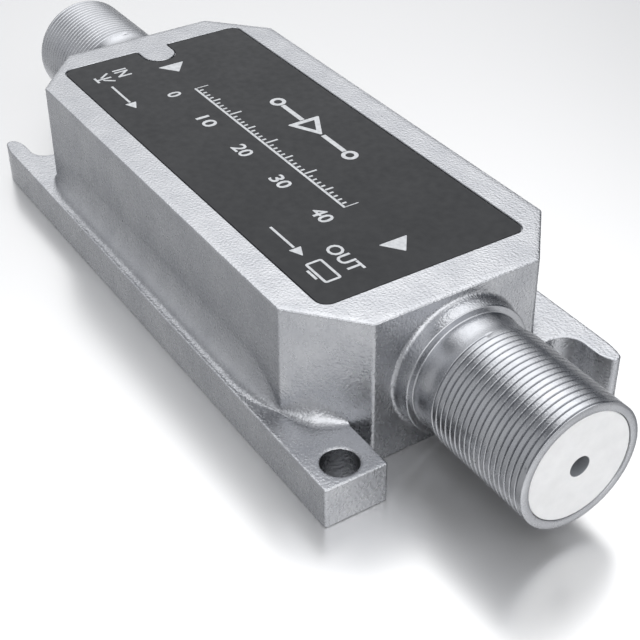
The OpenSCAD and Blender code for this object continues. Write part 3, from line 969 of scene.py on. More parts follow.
@dataclass
class Flange:
    """The mounting flange with its four ears, two holes and two open slots."""

    length: float = 54.9
    width: float = 25.9
    thick: float = 3.3
    edge_reach: float = 0.22
    edge_drop: float = 0.014
    edge_r: float = 0.1
    foot_r: float = 0.08
    corner_r: float = 0.2
    ear_gap: float = 16.0
    hole_r: float = 1.35
    hole_to_end: float = 1.85
    hole_to_side: float = 2.35
    hole_reach: float = 0.26
    hole_drop: float = 0.06
    hole_edge: float = 0.1
    slot_r: float = 1.65
    slot_to_end: float = 2.8
    finger_w: float = 1.6
    finger_inner_start: float = 1.63
    finger_taper: float = 2.3
    finger_inner_r: float = 2.6
    finger_outer_r: float = 7.0
    finger_curve_end: float = 0.48
    gap_face: float = 23.95
    tuck: float = 0.05
    tuck_at_gap: float = 22.5
    tuck_at_face: float = 6.86
    tuck_step: float = 0.3
    # An arc that would use up its whole side is left this share of it
    tip_share: float = 0.98
    slot_share: float = 0.998
    opening_r: float = 0.25
    opening_edge: float = 0.1
    opening_break: float = 0.08

    def outline(self) -> Outline:
        """Gives the flange's outline.

        At an ear's inner side the outline runs just inside the body's corner wall and end
        wall, because the body stands on its own there.

        The slot's round is two corners whose sides touch its circle: the tangent where the
        gap's face meets the circle, the circle's innermost upright tangent, and the
        finger's inner side. The finger's tip is two corners of one radius on the flange's
        end, where the tangents of its inner and outer curves meet it.

        Returns:
            The outline.
        """
        end, side, half_gap = self.length / 2, self.width / 2, self.ear_gap / 2
        inside = side - self.finger_w
        slot_x, slot_y = end - self.slot_to_end, inside - self.slot_r
        back = slot_x - self.gap_face
        mouth_y = slot_y - math.sqrt(self.slot_r**2 - back**2)
        around = math.atan2(back, slot_y - mouth_y)
        lowest = slot_x - self.slot_r
        tangent_y = mouth_y + (self.gap_face - lowest) * math.tan(around)
        nose_x = end - self.finger_curve_end
        inner_turn = math.asin((nose_x - (end - self.finger_inner_start)) / self.finger_inner_r)
        inner_x = end - self.finger_inner_start + self.finger_inner_r * math.tan(inner_turn / 2)
        inner_y = inside + (end - inner_x) * math.tan(inner_turn)
        outer_start = end - self.finger_taper
        outer_turn = math.asin((nose_x - outer_start) / self.finger_outer_r)
        outer_x = outer_start + self.finger_outer_r * math.tan(outer_turn / 2)
        outer_y = side - (end - outer_x) * math.tan(outer_turn)
        tip_turns = math.tan((math.pi / 2 - inner_turn) / 2) + math.tan((math.pi / 2 - outer_turn) / 2)
        tip_r = (outer_y - inner_y) / tip_turns * self.tip_share
        half = np.array([
            [end, -side, self.corner_r], [end, -half_gap, self.corner_r],
            [self.tuck_at_gap, -half_gap, 0], [self.gap_face - self.tuck, -self.tuck_at_face, 0],
            [self.gap_face - self.tuck, self.tuck_at_face - self.tuck_step, 0],
            [self.gap_face, self.tuck_at_face - self.tuck_step, 0], [self.gap_face, mouth_y, 0],
            [lowest, tangent_y, self.slot_r * self.slot_share],
            [lowest, inside, self.slot_r * self.slot_share],
            [inner_x, inside, self.finger_inner_r], [end, inner_y, tip_r],
            [end, outer_y, tip_r], [outer_x, side, self.finger_outer_r],
        ])
        corners = np.concatenate([half, half * [-1, -1, 1]])
        return Outline.rounded(corners[:, :2], corners[:, 2], steps=8)

    def holes(self) -> list[Outline]:
        """Gives the two round fixing holes.

        Returns:
            Their outlines, the output end's first.
        """
        x = self.length / 2 - self.hole_to_end
        y = self.hole_to_side - self.width / 2
        return [Outline.circle((sign * x, sign * y), self.hole_r) for sign in (1, -1)]

    def side_section(self, reach: float, drop: float, edge: float) -> tuple[np.ndarray, np.ndarray]:
        """Gives the section of a side, from the top face's edge down to the round at its foot.

        Args:
            reach: Distance from the side to where the top face starts to fall.
            drop: Depth of the fall.
            edge: Radius of the round at the top.

        Returns:
            How far the outline grows, which is never above 0, and the heights.
        """
        growth, height = edge_section(self.thick, reach, drop, edge)
        cos, sin = arc(0, -90, 3)
        growth = np.concatenate([growth, self.foot_r * (cos - 1)])
        return growth, np.concatenate([height, self.foot_r * (1 + sin)])

    def skin(self, ledge: np.ndarray) -> Skin:
        """Makes the flange's skin: a closed plate with three openings.

        Args:
            ledge: Corners of the opening for the bottom cover, n by 2.

        Returns:
            The skin.
        """
        made = Skin()
        plan, holes = self.outline(), self.holes()
        growth, height = self.side_section(self.edge_reach, self.edge_drop, self.edge_r)
        made.loft(np.stack([plan.at(z, by) for by, z in zip(growth, height)]))
        hole_growth, hole_height = self.side_section(self.hole_reach, self.hole_drop, self.hole_edge)
        for hole in holes:
            made.loft(np.stack([hole.at(z, -by) for by, z in zip(hole_growth, hole_height)]))
        opening = Outline.rounded(ledge, np.full(len(ledge), self.opening_r), 3)
        low = opening.at(0.0, self.opening_break)
        made.loft(np.stack([opening.at(self.thick), opening.at(self.opening_edge), low]))
        made.fill(
            plan.at(self.thick, -self.edge_reach),
            (*(h.at(self.thick, self.hole_reach) for h in holes), opening.at(self.thick)),
        )
        made.fill(
            plan.at(0.0, -self.foot_r), (*(h.at(0.0, self.foot_r) for h in holes), low)
        )
        return made


@dataclass
class LabelShape:
    """The label's outline, which its pocket follows."""

    length: float = 41.5
    width: float = 17.1
    corner_r: float = 0.9
    shift: float = 0.33
    notch_w: float = 3.0
    notch_l: float = 2.8
    notch_lip_r: float = 0.25
    notch_share: float = 0.999

    def outline(self) -> Outline:
        """Gives a rounded rectangle with a U-shaped notch in its input end.

        Returns:
            The outline.
        """
        far, near, side = self.length / 2 - self.shift, -self.length / 2 - self.shift, self.width / 2
        notch, half = near + self.notch_l, self.notch_w / 2
        corners = [
            (far, -side), (far, side), (near, side), (near, half),
            (notch, half), (notch, -half), (near, -half), (near, -side),
        ]
        r, lip, bend = self.corner_r, self.notch_lip_r, half * self.notch_share
        return Outline.rounded(np.array(corners), np.array([r, r, r, lip, bend, bend, lip, r]), 8)


@dataclass
class Casting:
    """The die-cast housing: body, flange, ports, cavity, posts and rib."""

    length: float = 47.8
    width: float = 22.3
    height: float = 11.9
    cut_l: float = 4.9
    cut_w: float = 4.3
    draft_deg: float = 0.4
    top_reach: float = 0.55
    top_drop: float = 0.03
    top_r: float = 0.12
    corner_r: float = 0.42
    least_r: float = 0.08
    below_edge: float = 0.3
    foot_out: float = 1.5
    foot_up: float = 2.9
    foot_sunk: float = 0.35
    foot_least: float = 0.12
    foot_taper: float = 2.4
    foot_steps: int = 19
    foot_step_power: float = 1.6
    foot_start_sunk: float = 0.002
    # The long wall's columns stand close within this share of it from each corner
    foot_near: float = 0.14
    foot_columns: int = 25
    pocket_depth: float = 0.2
    pocket_gap: float = 0.08
    pocket_edge: float = 0.05
    wall: float = 1.6
    end_wall_more: float = 0.1
    roof_z: float = 10.3
    ledge: float = 0.8
    ledge_z: float = 0.6
    hidden: float = 0.02
    post_x: float = 16.0
    post_y: float = 7.25
    post_r: float = 1.3
    post_z: float = 7.3
    pip_r: float = 0.55
    pip_z: float = 5.9
    rib_t: float = 1.0
    rib_z: float = 7.6
    # Edge rounds and breaks of the cavity, the posts and the rib, and how far the two
    # last run into the roof and the walls
    inner_r: float = 0.1
    roof_break: tuple[float, float] = (0.3, 0.12)
    post_lip: float = 0.1
    rib_break: float = 0.15
    rib_spread: float = 0.06
    into_roof: float = 0.2
    into_wall: float = 0.3
    port: Port = field(default_factory=Port)
    flange: Flange = field(default_factory=Flange)
    label: LabelShape = field(default_factory=LabelShape)

    @property
    def cut_angle(self) -> float:
        """Angle between X and a corner wall's normal."""
        return math.atan2(self.cut_l, self.cut_w)

    @property
    def cut_half(self) -> float:
        """Distance from the centre to a corner wall at the label face."""
        moment = self.length / 2 * self.cut_w + (self.width / 2 - self.cut_w) * self.cut_l
        return moment / math.hypot(self.cut_l, self.cut_w)

    @property
    def cavity_end(self) -> float:
        """Distance from the centre to the cavity's end walls."""
        return self.length / 2 - self.wall - self.end_wall_more

    @property
    def cavity_in(self) -> float:
        """How far the cavity's walls stand out from the body's, which is below zero."""
        return -self.wall

    @property
    def ledge_in(self) -> float:
        """How far the cover's ledge stands out from the body's walls."""
        return self.cavity_in + self.ledge + self.hidden

    def drafted(self, z: np.ndarray) -> np.ndarray:
        """Gives how far a wall stands out at a height: the drop times the draft's tangent."""
        return (self.height - np.asarray(z, float)) * math.tan(math.radians(self.draft_deg))

    def end_at(self, z: np.ndarray) -> np.ndarray:
        """Gives the end wall's distance from the centre at a height."""
        return self.length / 2 + self.drafted(z)

    def ring(self, z: float, out: float, corner_r: float, inside: bool = False) -> np.ndarray:
        """Gives one eight-sided ring of the body, always with the same number of points.

        Args:
            z: The ring's height.
            out: How far every wall stands out from its size at the label face.
            corner_r: Radius of the corners.
            inside: Whether the ring is on the inner side of the walls.

        Returns:
            The ring, n by 3.
        """
        end = self.length / 2 + out - (self.end_wall_more if inside else 0)
        corners = eight_sides(end, self.width / 2 + out, self.cut_half + out, self.cut_angle)
        flat = Outline.rounded(corners, np.full(8, corner_r), 6).points
        return np.column_stack([flat, np.full(len(flat), z)])

    def outer_rings(self) -> tuple[np.ndarray, int]:
        """Gives the body's rings from the label face down to the floor.

        The top edge has its own section, and the walls then follow the draft.

        Returns:
            The rings, and the number of the ring where the end walls' flat faces start.
        """
        growth, height = edge_section(self.height, self.top_reach, self.top_drop, self.top_r)
        start = height[-1]
        growth = growth + float(self.drafted(start)) * np.clip(1 + growth / self.top_r, 0, 1)
        rings = [self.ring(z, g, max(self.corner_r + g, self.least_r)) for g, z in zip(growth, height)]
        heights = (start - self.below_edge, self.flange.thick, 2 * self.flange.foot_r)
        rings += [self.ring(z, float(self.drafted(z)), self.corner_r) for z in heights]
        rings.append(self.ring(self.hidden, float(self.drafted(0)) - self.flange.foot_r, self.corner_r))
        return np.stack(rings), len(growth) - 1

    def inner_rings(self) -> np.ndarray:
        """Gives the rings of the cover's ledge and the cavity, from the floor up to the roof.

        Returns:
            The rings.
        """
        ledge_r, inner_r, rise, run = self.flange.opening_r, self.inner_r, *self.roof_break
        rows = [(self.hidden, self.ledge_in, ledge_r), (self.ledge_z, self.ledge_in, ledge_r)]
        rows += [(self.ledge_z, self.cavity_in, inner_r), (self.roof_z - rise, self.cavity_in, inner_r)]
        rows += [(self.roof_z, self.cavity_in - run, inner_r)]
        return np.stack([self.ring(z, out, r, inside=True) for z, out, r in rows])

    def foot_skin(self, turned: bool) -> Skin:
        """Makes the concave foot along one side, as a strip sunk into the wall and flange.

        Its section is a quarter ellipse that leaves the wall upright and ends flat on the
        flange. A rail follows each point of the section: from the end wall's plane along
        the corner wall by the slot, the long wall and the corner wall by the hole, to the
        ear's inner side. Its size grows evenly with the distance from the nearest corner
        and eases into the full size (u - u*u/4, up to u = 2), so the walls' corners run
        straight down. By the slot it stays small.

        Args:
            turned: Whether the strip lies on the +Y side.

        Returns:
            The skin.
        """
        made = Skin()
        whole, least = self.foot_rails(1.0), self.foot_rails(self.foot_least)
        base = self.foot_rail(0.0, self.flange.thick)
        corner = np.array([self.length / 2 - self.cut_l, -self.width / 2, self.flange.thick])
        ends = np.stack([corner, corner * [-1, 1, 1], base[-1]])
        away = np.linalg.norm(base[:, None] - ends, axis=2).min(axis=1)
        away = np.where(base[:, 0] < -corner[0], 0, np.minimum(away / self.foot_taper, 2))
        rails = least + (whole - least) * (away - away**2 / 4)[:, None]
        made.loft(np.moveaxis(rails, 0, 1))
        made.fill(rails[:, 0], axes=(1, 2))
        made.fill(rails[:, -1], axes=(0, 2))
        return made.place(turned)

    def foot_rails(self, share: float) -> np.ndarray:
        """Gives all the rails of the foot, with its section at a share of its size.

        Args:
            share: The section's share of its full size.

        Returns:
            The rails, by section point, place along the rail and coordinate.
        """
        turn = math.pi / 2 * np.linspace(0, 1, self.foot_steps) ** self.foot_step_power
        cos, sin = np.cos(turn), np.sin(turn)
        far, up = self.foot_out * share, self.foot_up * share
        sunk, top = self.foot_sunk, self.flange.thick
        reach = np.concatenate([far * (1 - cos) - self.foot_start_sunk * cos, [far, -sunk, -sunk]])
        height = np.concatenate([top + up * (1 - sin), [top - sunk, top - sunk, top + up]])
        return np.stack([self.foot_rail(out, z) for out, z in zip(reach, height)])

    def foot_rail(self, out: float, z: float) -> np.ndarray:
        """Gives one rail of the foot: the walls' lines moved out, with arcs at the corners.

        Args:
            out: How far the rail stands out from the walls.
            z: Its height.

        Returns:
            The rail's points, from the end wall's plane to the ear's inner side.
        """
        cos, sin = math.cos(self.cut_angle), math.sin(self.cut_angle)
        base = float(self.drafted(z))
        cut, side = self.cut_half + base + out, self.width / 2 + base + out
        gap, end = self.flange.ear_gap / 2 + self.hidden, self.flange.gap_face - self.hidden
        path = np.array([
            [-end, -(cut - end * cos) / sin], [-(cut - side * sin) / cos, -side],
            [(cut - side * sin) / cos, -side], [(cut - gap * sin) / cos, -gap], [0, 0],
        ])
        bend = self.corner_r
        # A corner is 7 points: this keeps one of the first, the two arcs (the long wall
        # runs from point 7 to point 8), and one of the fourth
        flat = Outline.rounded(path, np.array([0, bend, bend, 0, 0]), 6).points[6:-13]
        near = np.linspace(0, self.foot_near, self.foot_columns)[:, None]
        wall = flat[7] + (flat[8] - flat[7]) * np.concatenate([near, 1 - near[::-1]])
        tail = flat[-2] + (flat[-1] - flat[-2]) * np.linspace(0, 1, self.foot_columns)[:, None]
        flat = np.concatenate([flat[:7], wall, flat[9:-2], tail])
        return np.column_stack([flat, np.full(len(flat), z)])

    def end_columns(self, ring: np.ndarray) -> tuple[int, int]:
        """Gives the numbers of the two columns that cross the end walls' flat faces."""
        return len(ring) // 2 - 1, len(ring) - 1

    def end_face(self, rings: np.ndarray, hole: np.ndarray) -> Skin:
        """Fills the output end's flat face between the rings' ends, round the port's root.

        Args:
            rings: The rings whose last columns bound the face.
            hole: The ring of the opening.

        Returns:
            The skin.
        """
        made = Skin()
        made.fill(np.concatenate([rings[:, 0], rings[::-1, -1]]), (hole[:-1],), axes=(1, 2))
        return made

    def body_skin(self) -> Skin:
        """Makes the body's closed skin with both ports and the cavity.

        Returns:
            The skin.
        """
        made = Skin()
        outer, first_flat = self.outer_rings()
        inner = self.inner_rings()
        skip = self.end_columns(outer[0])
        made.loft(outer[: first_flat + 1])
        made.loft(outer[first_flat:-1], skip=skip)
        made.loft(np.concatenate([outer[-2:], inner[:3]]))
        made.loft(inner[2:], skip=skip)
        pocket = self.label.outline()
        gap, floor = self.pocket_gap, self.height - self.pocket_depth
        rim = pocket.at(self.height, gap + self.pocket_edge)
        made.fill(outer[0], (rim,))
        made.loft(np.stack([rim, pocket.at(self.height - self.pocket_edge, gap), pocket.at(floor, gap)]))
        made.fill(pocket.at(floor, gap))
        port = self.port.skin(self)
        tail = self.port.mouth_rings(self.cavity_end)[-1]
        end = self.end_face(outer[first_flat:-1], self.port.foot(self))
        end.join(self.end_face(inner[2:], tail))
        end.join(port)
        for side in End:
            made.join(end.place(side is End.INPUT))
        made.fill(inner[-1])
        return made

    def inside_corners(self, out: float) -> np.ndarray:
        """Gives the corners of the cavity's plan, moved outward.

        Args:
            out: How far they move.

        Returns:
            The eight corners.
        """
        by = out - self.wall
        end = self.length / 2 + by - self.end_wall_more
        return eight_sides(end, self.width / 2 + by, self.cut_half + by, self.cut_angle)

    def post_skin(self) -> Skin:
        """Makes the four cast posts with their pips, and the rib between the stages.

        Returns:
            The skin.
        """
        made = Skin()
        cos, sin = arc(0, 90, 3)
        lip, top = self.post_lip, self.roof_z + self.into_roof
        radius = np.concatenate([
            [0.0], (self.pip_r - lip) + lip * sin, [self.pip_r, self.post_r - lip],
            self.post_r - lip + lip * sin, [self.post_r, 0.0],
        ])
        height = np.concatenate([
            [self.pip_z], self.pip_z + lip * (1 - cos), [self.post_z, self.post_z],
            self.post_z + lip * (1 - cos), [top, top],
        ])
        for x in (-self.post_x, self.post_x):
            for y in (-self.post_y, self.post_y):
                made.loft(about_z(radius, height, (x, y), 32))
        side, half = self.rib_t / 2, self.width / 2 - self.wall + self.into_wall
        corners = np.array([[-side, -half], [side, -half], [side, half], [-side, half]])
        plan = Outline.rounded(corners, np.full(4, self.inner_r), 3)
        edge = self.rib_break
        rings = np.stack([
            plan.at(self.rib_z, -edge), plan.at(self.rib_z + edge), plan.at(top, self.rib_spread),
        ])
        made.loft(rings)
        made.fill(rings[0])
        made.fill(rings[-1])
        return made

    def build(self, cast: bpy.types.Material, turned: bpy.types.Material) -> None:
        """Makes the housing piece, with the smoother finish on the ports.

        Args:
            cast: Finish of the body and the flange.
            turned: Finish of the ports outside their collars.
        """
        ledge = self.inside_corners(self.ledge)
        made = self.body_skin()
        made.join(self.flange.skin(ledge))
        for turned_round in (False, True):
            made.join(self.foot_skin(turned_round))
        made.join(self.post_skin())
        piece = made.piece("housing_casting", [cast, turned])
        away = np.abs(face_centres(piece))
        on_port = away[:, 0] > self.port.collar_end - self.port.finish_back
        wear_second(piece, on_port & (away[:, 1] < self.port.collar_r + self.port.finish_beside))
        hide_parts("housing")


# Insulators, cover and label


@dataclass
class FrontInsulator:
    """The white disc in a port's mouth, with its spigot and wire hole."""

    axis_z: float = 6.05
    face: float = 36.6
    seat: float = 35.6
    spigot_l: float = 1.3
    disc_r: float = 4.12
    spigot_r: float = 3.27
    hole_r: float = 0.77
    edge: float = 0.07
    hole_edge: float = 0.05
    steps: int = 96

    def build(self, end: End, finish: bpy.types.Material, hole_shade: bpy.types.Material) -> None:
        """Makes one insulator: a closed profile turned about the port's axis.

        Args:
            end: The end that it sits in.
            finish: Its material.
            hole_shade: The darker grey inside its wire hole, which is painted shade.
        """
        cos, sin = arc(0, 90)
        hcos, hsin = arc(90, 180)
        back = self.seat - self.spigot_l
        along = np.concatenate([
            [back, back, self.seat, self.seat], self.face - self.edge + self.edge * sin,
            self.face - self.hole_edge + self.hole_edge * hsin, [back],
        ])
        radius = np.concatenate([
            [self.hole_r, self.spigot_r, self.spigot_r, self.disc_r],
            self.disc_r - self.edge + self.edge * cos,
            self.hole_r + self.hole_edge + self.hole_edge * hcos, [self.hole_r],
        ])
        angle = np.arange(self.steps) * 2 * math.pi / self.steps
        made = Skin()
        made.loft(about_x(along[:, None], radius[:, None], angle, self.axis_z))
        word = end.name.lower()
        piece = made.place(end is End.INPUT).piece(f"{word}_white_insulator", [finish, hole_shade])
        y, z = face_centres(piece)[:, 1:].T
        # The faces inside the wire hole take a darker grey: painted shade, as the insulator is white
        # plastic all through.
        wear_second(piece, np.hypot(y, z - self.axis_z) < self.hole_r + self.hole_edge / 2)
        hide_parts(f"{word}_front_insulator")


@dataclass
class BottomCover:
    """The pressed sheet that closes the cavity from below."""

    low: float = 0.1
    sheet: float = 0.5
    panel: float = 0.35
    border: float = 3.0
    gap: float = 0.08
    corner_r: float = 0.3
    slope: float = 0.35
    # Share of the panel's height at even steps along its slope
    slope_rises: tuple[float, ...] = (0.0, 0.08, 0.5, 0.92, 1.0)
    panel_corner_r: float = 1.2
    burr: float = 0.06

    def build(self, casting: Casting, finish: bpy.types.Material) -> None:
        """Makes the cover: two eight-sided skins, each with a raised panel, and a rim.

        Args:
            casting: The housing that the cover fits.
            finish: Its material.
        """
        rim = casting.ledge - self.gap
        plan = Outline.rounded(casting.inside_corners(rim), np.full(8, self.corner_r), 4)
        inside = casting.inside_corners(rim - self.border)
        panel = Outline.rounded(inside, np.full(8, self.panel_corner_r), 4)
        top = self.low + self.sheet
        run = np.linspace(0, 1, len(self.slope_rises)) * self.slope
        steps = [(self.panel * share, by) for share, by in zip(self.slope_rises, run)]
        above = [panel.at(top + rise, -by) for rise, by in steps]
        below = [panel.at(self.low + rise, -by - self.sheet) for rise, by in steps]
        burr = self.burr
        rings = above[::-1] + [plan.at(top, -burr), plan.at(top - burr)]
        rings += [plan.at(self.low + burr), plan.at(self.low, -burr)] + below
        made = Skin()
        made.loft(np.stack(rings))
        made.fill(above[-1])
        made.fill(below[-1])
        piece = made.piece("bottom_cover_sheet", [finish])
        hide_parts("bottom_cover")


@dataclass
class LabelPlate:
    """The thin printed label and its pale marks."""

    low: float = 11.7
    thick: float = 0.15
    edge: float = 0.03
    ink: float = 0.01
    line: float = 0.2
    bolder: float = 0.018
    curve_steps: int = 3
    rule_left: float = -12.0
    rule_right: float = 10.9
    in_box: tuple[float, ...] = (-18.9, -4.98, -17.45, -3.72)
    out_box: tuple[float, ...] = (14.55, -4.78, 18.15, -3.55)
    numbers_low: float = -3.1
    numbers_high: float = -1.88
    one_figure: float = 0.42
    two_figures: float = 0.95
    flow_starts: tuple[float, float] = (-17.26, 16.36)
    flow_heights: Triple = (-1.33, -0.12, 1.09)
    flow_length: float = 1.62
    flow_r: float = 0.05
    aerial_at: tuple[float, float] = (-17.9, -6.95)
    screen_at: tuple[float, float] = (16.9, -7.25)
    input_arrow: Triple = (-16.2, -11.5, -6.25)
    output_arrow: Triple = (10.2, 14.6, -6.4)
    rule_y: float = -0.62
    ticks: int = 40
    # Ticks from one number to the next
    ticks_apart: int = 10
    tick_w: float = 0.18
    # Heights of a small, a middle and a large tick
    tick_rises: Triple = (0.6, 0.95, 1.32)
    clear: float = 0.05
    shape: LabelShape = field(default_factory=LabelShape)

    @property
    def face(self) -> float:
        """Height of the printed face."""
        return self.low + self.thick

    def build(self, sheet: bpy.types.Material, ink: bpy.types.Material) -> None:
        """Makes the plate and its print.

        Args:
            sheet: The lacquered sheet's material.
            ink: The print's material.
        """
        plan = self.shape.outline()
        below_edge = plan.at(self.face - self.edge)
        rings = np.stack([plan.at(self.low), below_edge, plan.at(self.face, -self.edge)])
        made = Skin()
        made.loft(rings)
        made.fill(rings[0])
        made.fill(rings[-1])
        plate = made.piece("label_plate_sheet", [sheet])
        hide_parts("label_plate")
        marks = self.lettering()
        for outer, holes in self.marks():
            self.raise_mark(marks, outer, holes)
        marks.piece("label_print_marks", [ink])

    def raise_mark(self, marks: Skin, outer: Outline, holes: list[Outline]) -> None:
        """Adds one printed shape, as a film of ink on the label's face.

        Args:
            marks: The skin of all the print.
            outer: The shape's outline.
            holes: The holes in it.
        """
        bottom, top = self.face - self.ink / 2, self.face + self.ink
        for outline in (outer, *holes):
            marks.loft(np.stack([outline.at(bottom), outline.at(top)]))
        for z in (bottom, top):
            marks.fill(outer.at(z), tuple(hole.at(z) for hole in holes))

    @staticmethod
    def box(x0: float, y0: float, x1: float, y1: float, r: float = 0.0) -> Outline:
        """Gives a rectangle with rounded corners."""
        return Outline.rounded(np.array([[x0, y0], [x1, y0], [x1, y1], [x0, y1]]), np.full(4, r), 4)

    def words(self, text: str, x0: float, y0: float, x1: float, y1: float) -> Skin:
        """Gives printed words that fill a box exactly.

        Args:
            text: The words.
            x0: The box's left side.
            y0: The box's lower side.
            x1: The box's right side.
            y1: The box's upper side.

        Returns:
            The skin: the font's outlines with the ink's thickness.
        """
        curve = bpy.data.curves.new("words", "FONT")
        # Any depth will do here, because the words are scaled to their box
        curve.body, curve.extrude = text, 0.1
        curve.offset, curve.resolution_u = self.bolder, self.curve_steps
        carrier = bpy.data.objects.new("words", curve)
        mesh = bpy.data.meshes.new_from_object(carrier)
        mesh.calc_loop_triangles()
        points = np.empty(len(mesh.vertices) * 3, np.float32)
        mesh.vertices.foreach_get("co", points)
        corners = np.empty(len(mesh.loop_triangles) * 3, np.int32)
        mesh.loop_triangles.foreach_get("vertices", corners)
        bpy.data.objects.remove(carrier)
        bpy.data.curves.remove(curve)
        bpy.data.meshes.remove(mesh)
        points = points.reshape(-1, 3)
        low, high = points.min(axis=0), points.max(axis=0)
        start = np.array([x0, y0, self.face - self.ink / 2])
        size = np.array([x1, y1, self.face + self.ink]) - start
        made = Skin()
        made.add_points(start + (points - low) / (high - low) * size)
        made.faces.append(corners.reshape(-1, 3))
        return made

    def lettering(self) -> Skin:
        """Gives the words for the two ends and the rule's numbers.

        Returns:
            The skin.
        """
        made = Skin()
        made.join(self.words("IN", *self.in_box))
        made.join(self.words("OUT", *self.out_box))
        span, parts = self.rule_right - self.rule_left, self.ticks // self.ticks_apart
        for part in range(parts + 1):
            x = self.rule_left + span * part / parts
            half = self.one_figure if part == 0 else self.two_figures
            text = str(part * self.ticks_apart)
            made.join(self.words(text, x - half, self.numbers_low, x + half, self.numbers_high))
        return made

    def marks(self) -> list[Mark]:
        """Gives every drawn shape: flow triangles, arrows, signs and a plain rule.

        Returns:
            The shapes.
        """
        made: list[Mark] = []
        for x in self.flow_starts:
            low, middle, high = self.flow_heights
            points = np.array([[x, low], [x + self.flow_length, middle], [x, high]])
            made.append((Outline.rounded(points, np.full(3, self.flow_r), 3), []))
        made += self.aerial(*self.aerial_at) + self.arrow(*self.input_arrow)
        made += self.arrow(*self.output_arrow) + self.screen(*self.screen_at)
        return made + self.amplifier_sign() + self.rule()

    def stroke(self, x0: float, y0: float, x1: float, y1: float, t: float) -> Mark:
        """Gives a straight stroke with square ends.

        Args:
            x0: X of its start.
            y0: Y of its start.
            x1: X of its end.
            y1: Y of its end.
            t: Its thickness.

        Returns:
            The stroke.
        """
        along = np.array([x1 - x0, y1 - y0])
        across = np.array([along[1], -along[0]]) / np.linalg.norm(along) * t / 2
        a, b = np.array([x0, y0]), np.array([x1, y1])
        corners = np.array([a + across, b + across, b - across, a - across])
        return Outline.rounded(corners, np.zeros(4), 1), []

    def arrow(self, x0: float, x1: float, y: float) -> list[Mark]:
        """Gives an arrow along X: a stroke and a head that do not touch.

        Args:
            x0: Its start.
            x1: Its tip.
            y: Its line.

        Returns:
            The two shapes.
        """
        head, half, gap, head_r = 1.1, 0.5, 0.12, 0.04
        points = np.array([[x1 - head, y - half], [x1, y], [x1 - head, y + half]])
        return [
            self.stroke(x0, y, x1 - head - gap, y, self.line),
            (Outline.rounded(points, np.full(3, head_r), 3), []),
        ]

    def aerial(self, x: float, y: float) -> list[Mark]:
        """Gives the sign for an aerial: a mast with two arms on a foot.

        Args:
            x: The mast's line.
            y: The foot's lower side.

        Returns:
            The shapes.
        """
        height, t, gap = 1.45, self.line, 0.02
        near, far, fork, foot = 0.22, 0.85, 0.42, 0.5
        made = [self.stroke(x, y + t + gap, x, y + height, t)]
        for side in (1, -1):
            start, end = x + side * near, x + side * far
            made.append(self.stroke(start, y + height * fork, end, y + height, t))
        return made + [(self.box(x - foot, y, x + foot, y + t), [])]

    def screen(self, x: float, y: float) -> list[Mark]:
        """Gives the sign for a receiver: a screen on a foot.

        Args:
            x: The screen's middle.
            y: The foot's lower side.

        Returns:
            The shapes.
        """
        t, half, foot, outer_r, inner_r = self.line, 1.35, 0.6, 0.22, 0.08
        low, high = y + 0.32, y + 1.7
        outer = self.box(x - half, low, x + half, high, outer_r)
        inner = self.box(x - half + t, low + t, x + half - t, high - t, inner_r)
        return [(outer, [inner]), (self.box(x - foot, y, x + foot, y + t), [])]

    def amplifier_sign(self) -> list[Mark]:
        """Gives the circuit sign for an amplifier: a triangle between two terminals.

        Returns:
            The shapes.
        """
        x, y, half, tip, t, end_r = -0.68, 4.05, 1.5, 1.45, 0.42, 0.68
        reach, corner_r, hollow_r, steps = 6.05, 0.1, 0.03, 32
        from_tip, from_ring, ring_share = 0.1, 0.08, 0.8
        corners = np.array([[x - tip, y - half], [x + tip, y], [x - tip, y + half]])
        inside = Outline.rounded(corners, np.zeros(3), 1).grown(-t)[::2]
        hollow = Outline.rounded(inside, np.full(3, hollow_r), 3)
        made = [(Outline.rounded(corners, np.full(3, corner_r), 3), [hollow])]
        for side in (-1, 1):
            middle = x + side * (reach - end_r)
            start, end = x + side * (tip + from_tip), middle - side * (end_r + from_ring)
            made.append(self.stroke(start, y, end, y, t))
            hole = Outline.circle((middle, y), end_r - t * ring_share, steps)
            made.append((Outline.circle((middle, y), end_r, steps), [hole]))
        return made

    def rule(self) -> list[Mark]:
        """Gives a plain rule with small, middle and large ticks.

        Returns:
            The shapes.
        """
        left, right, y, count = self.rule_left, self.rule_right, self.rule_y, self.ticks
        small, middle, large = self.tick_rises
        apart = self.ticks_apart
        made = [(self.box(left, y, right, y + self.line), [])]
        for number in range(count + 1):
            x = left + (right - left) * number / count
            rise = large if number % apart == 0 else middle if number % (apart // 2) == 0 else small
            x0, x1 = max(x - self.tick_w / 2, left), min(x + self.tick_w / 2, right)
            made.append((self.box(x0, y + self.line + self.clear, x1, y + rise), []))
        return made


# Studio


@dataclass(frozen=True)
class Glow:
    """One soft bright patch of the sky: full within the core, and gone beyond the edge."""

    azimuth_deg: float
    elevation_deg: float
    strength: float
    core_deg: float = 4.0
    edge_deg: float = 42.0

    def way(self) -> Vector:
        """Gives the direction of the patch's middle, with azimuth from X towards Y.

        Returns:
            The direction, of length one.
        """
        azimuth, elevation = math.radians(self.azimuth_deg), math.radians(self.elevation_deg)
        flat = math.cos(elevation)
        return Vector((flat * math.cos(azimuth), flat * math.sin(azimuth), math.sin(elevation)))


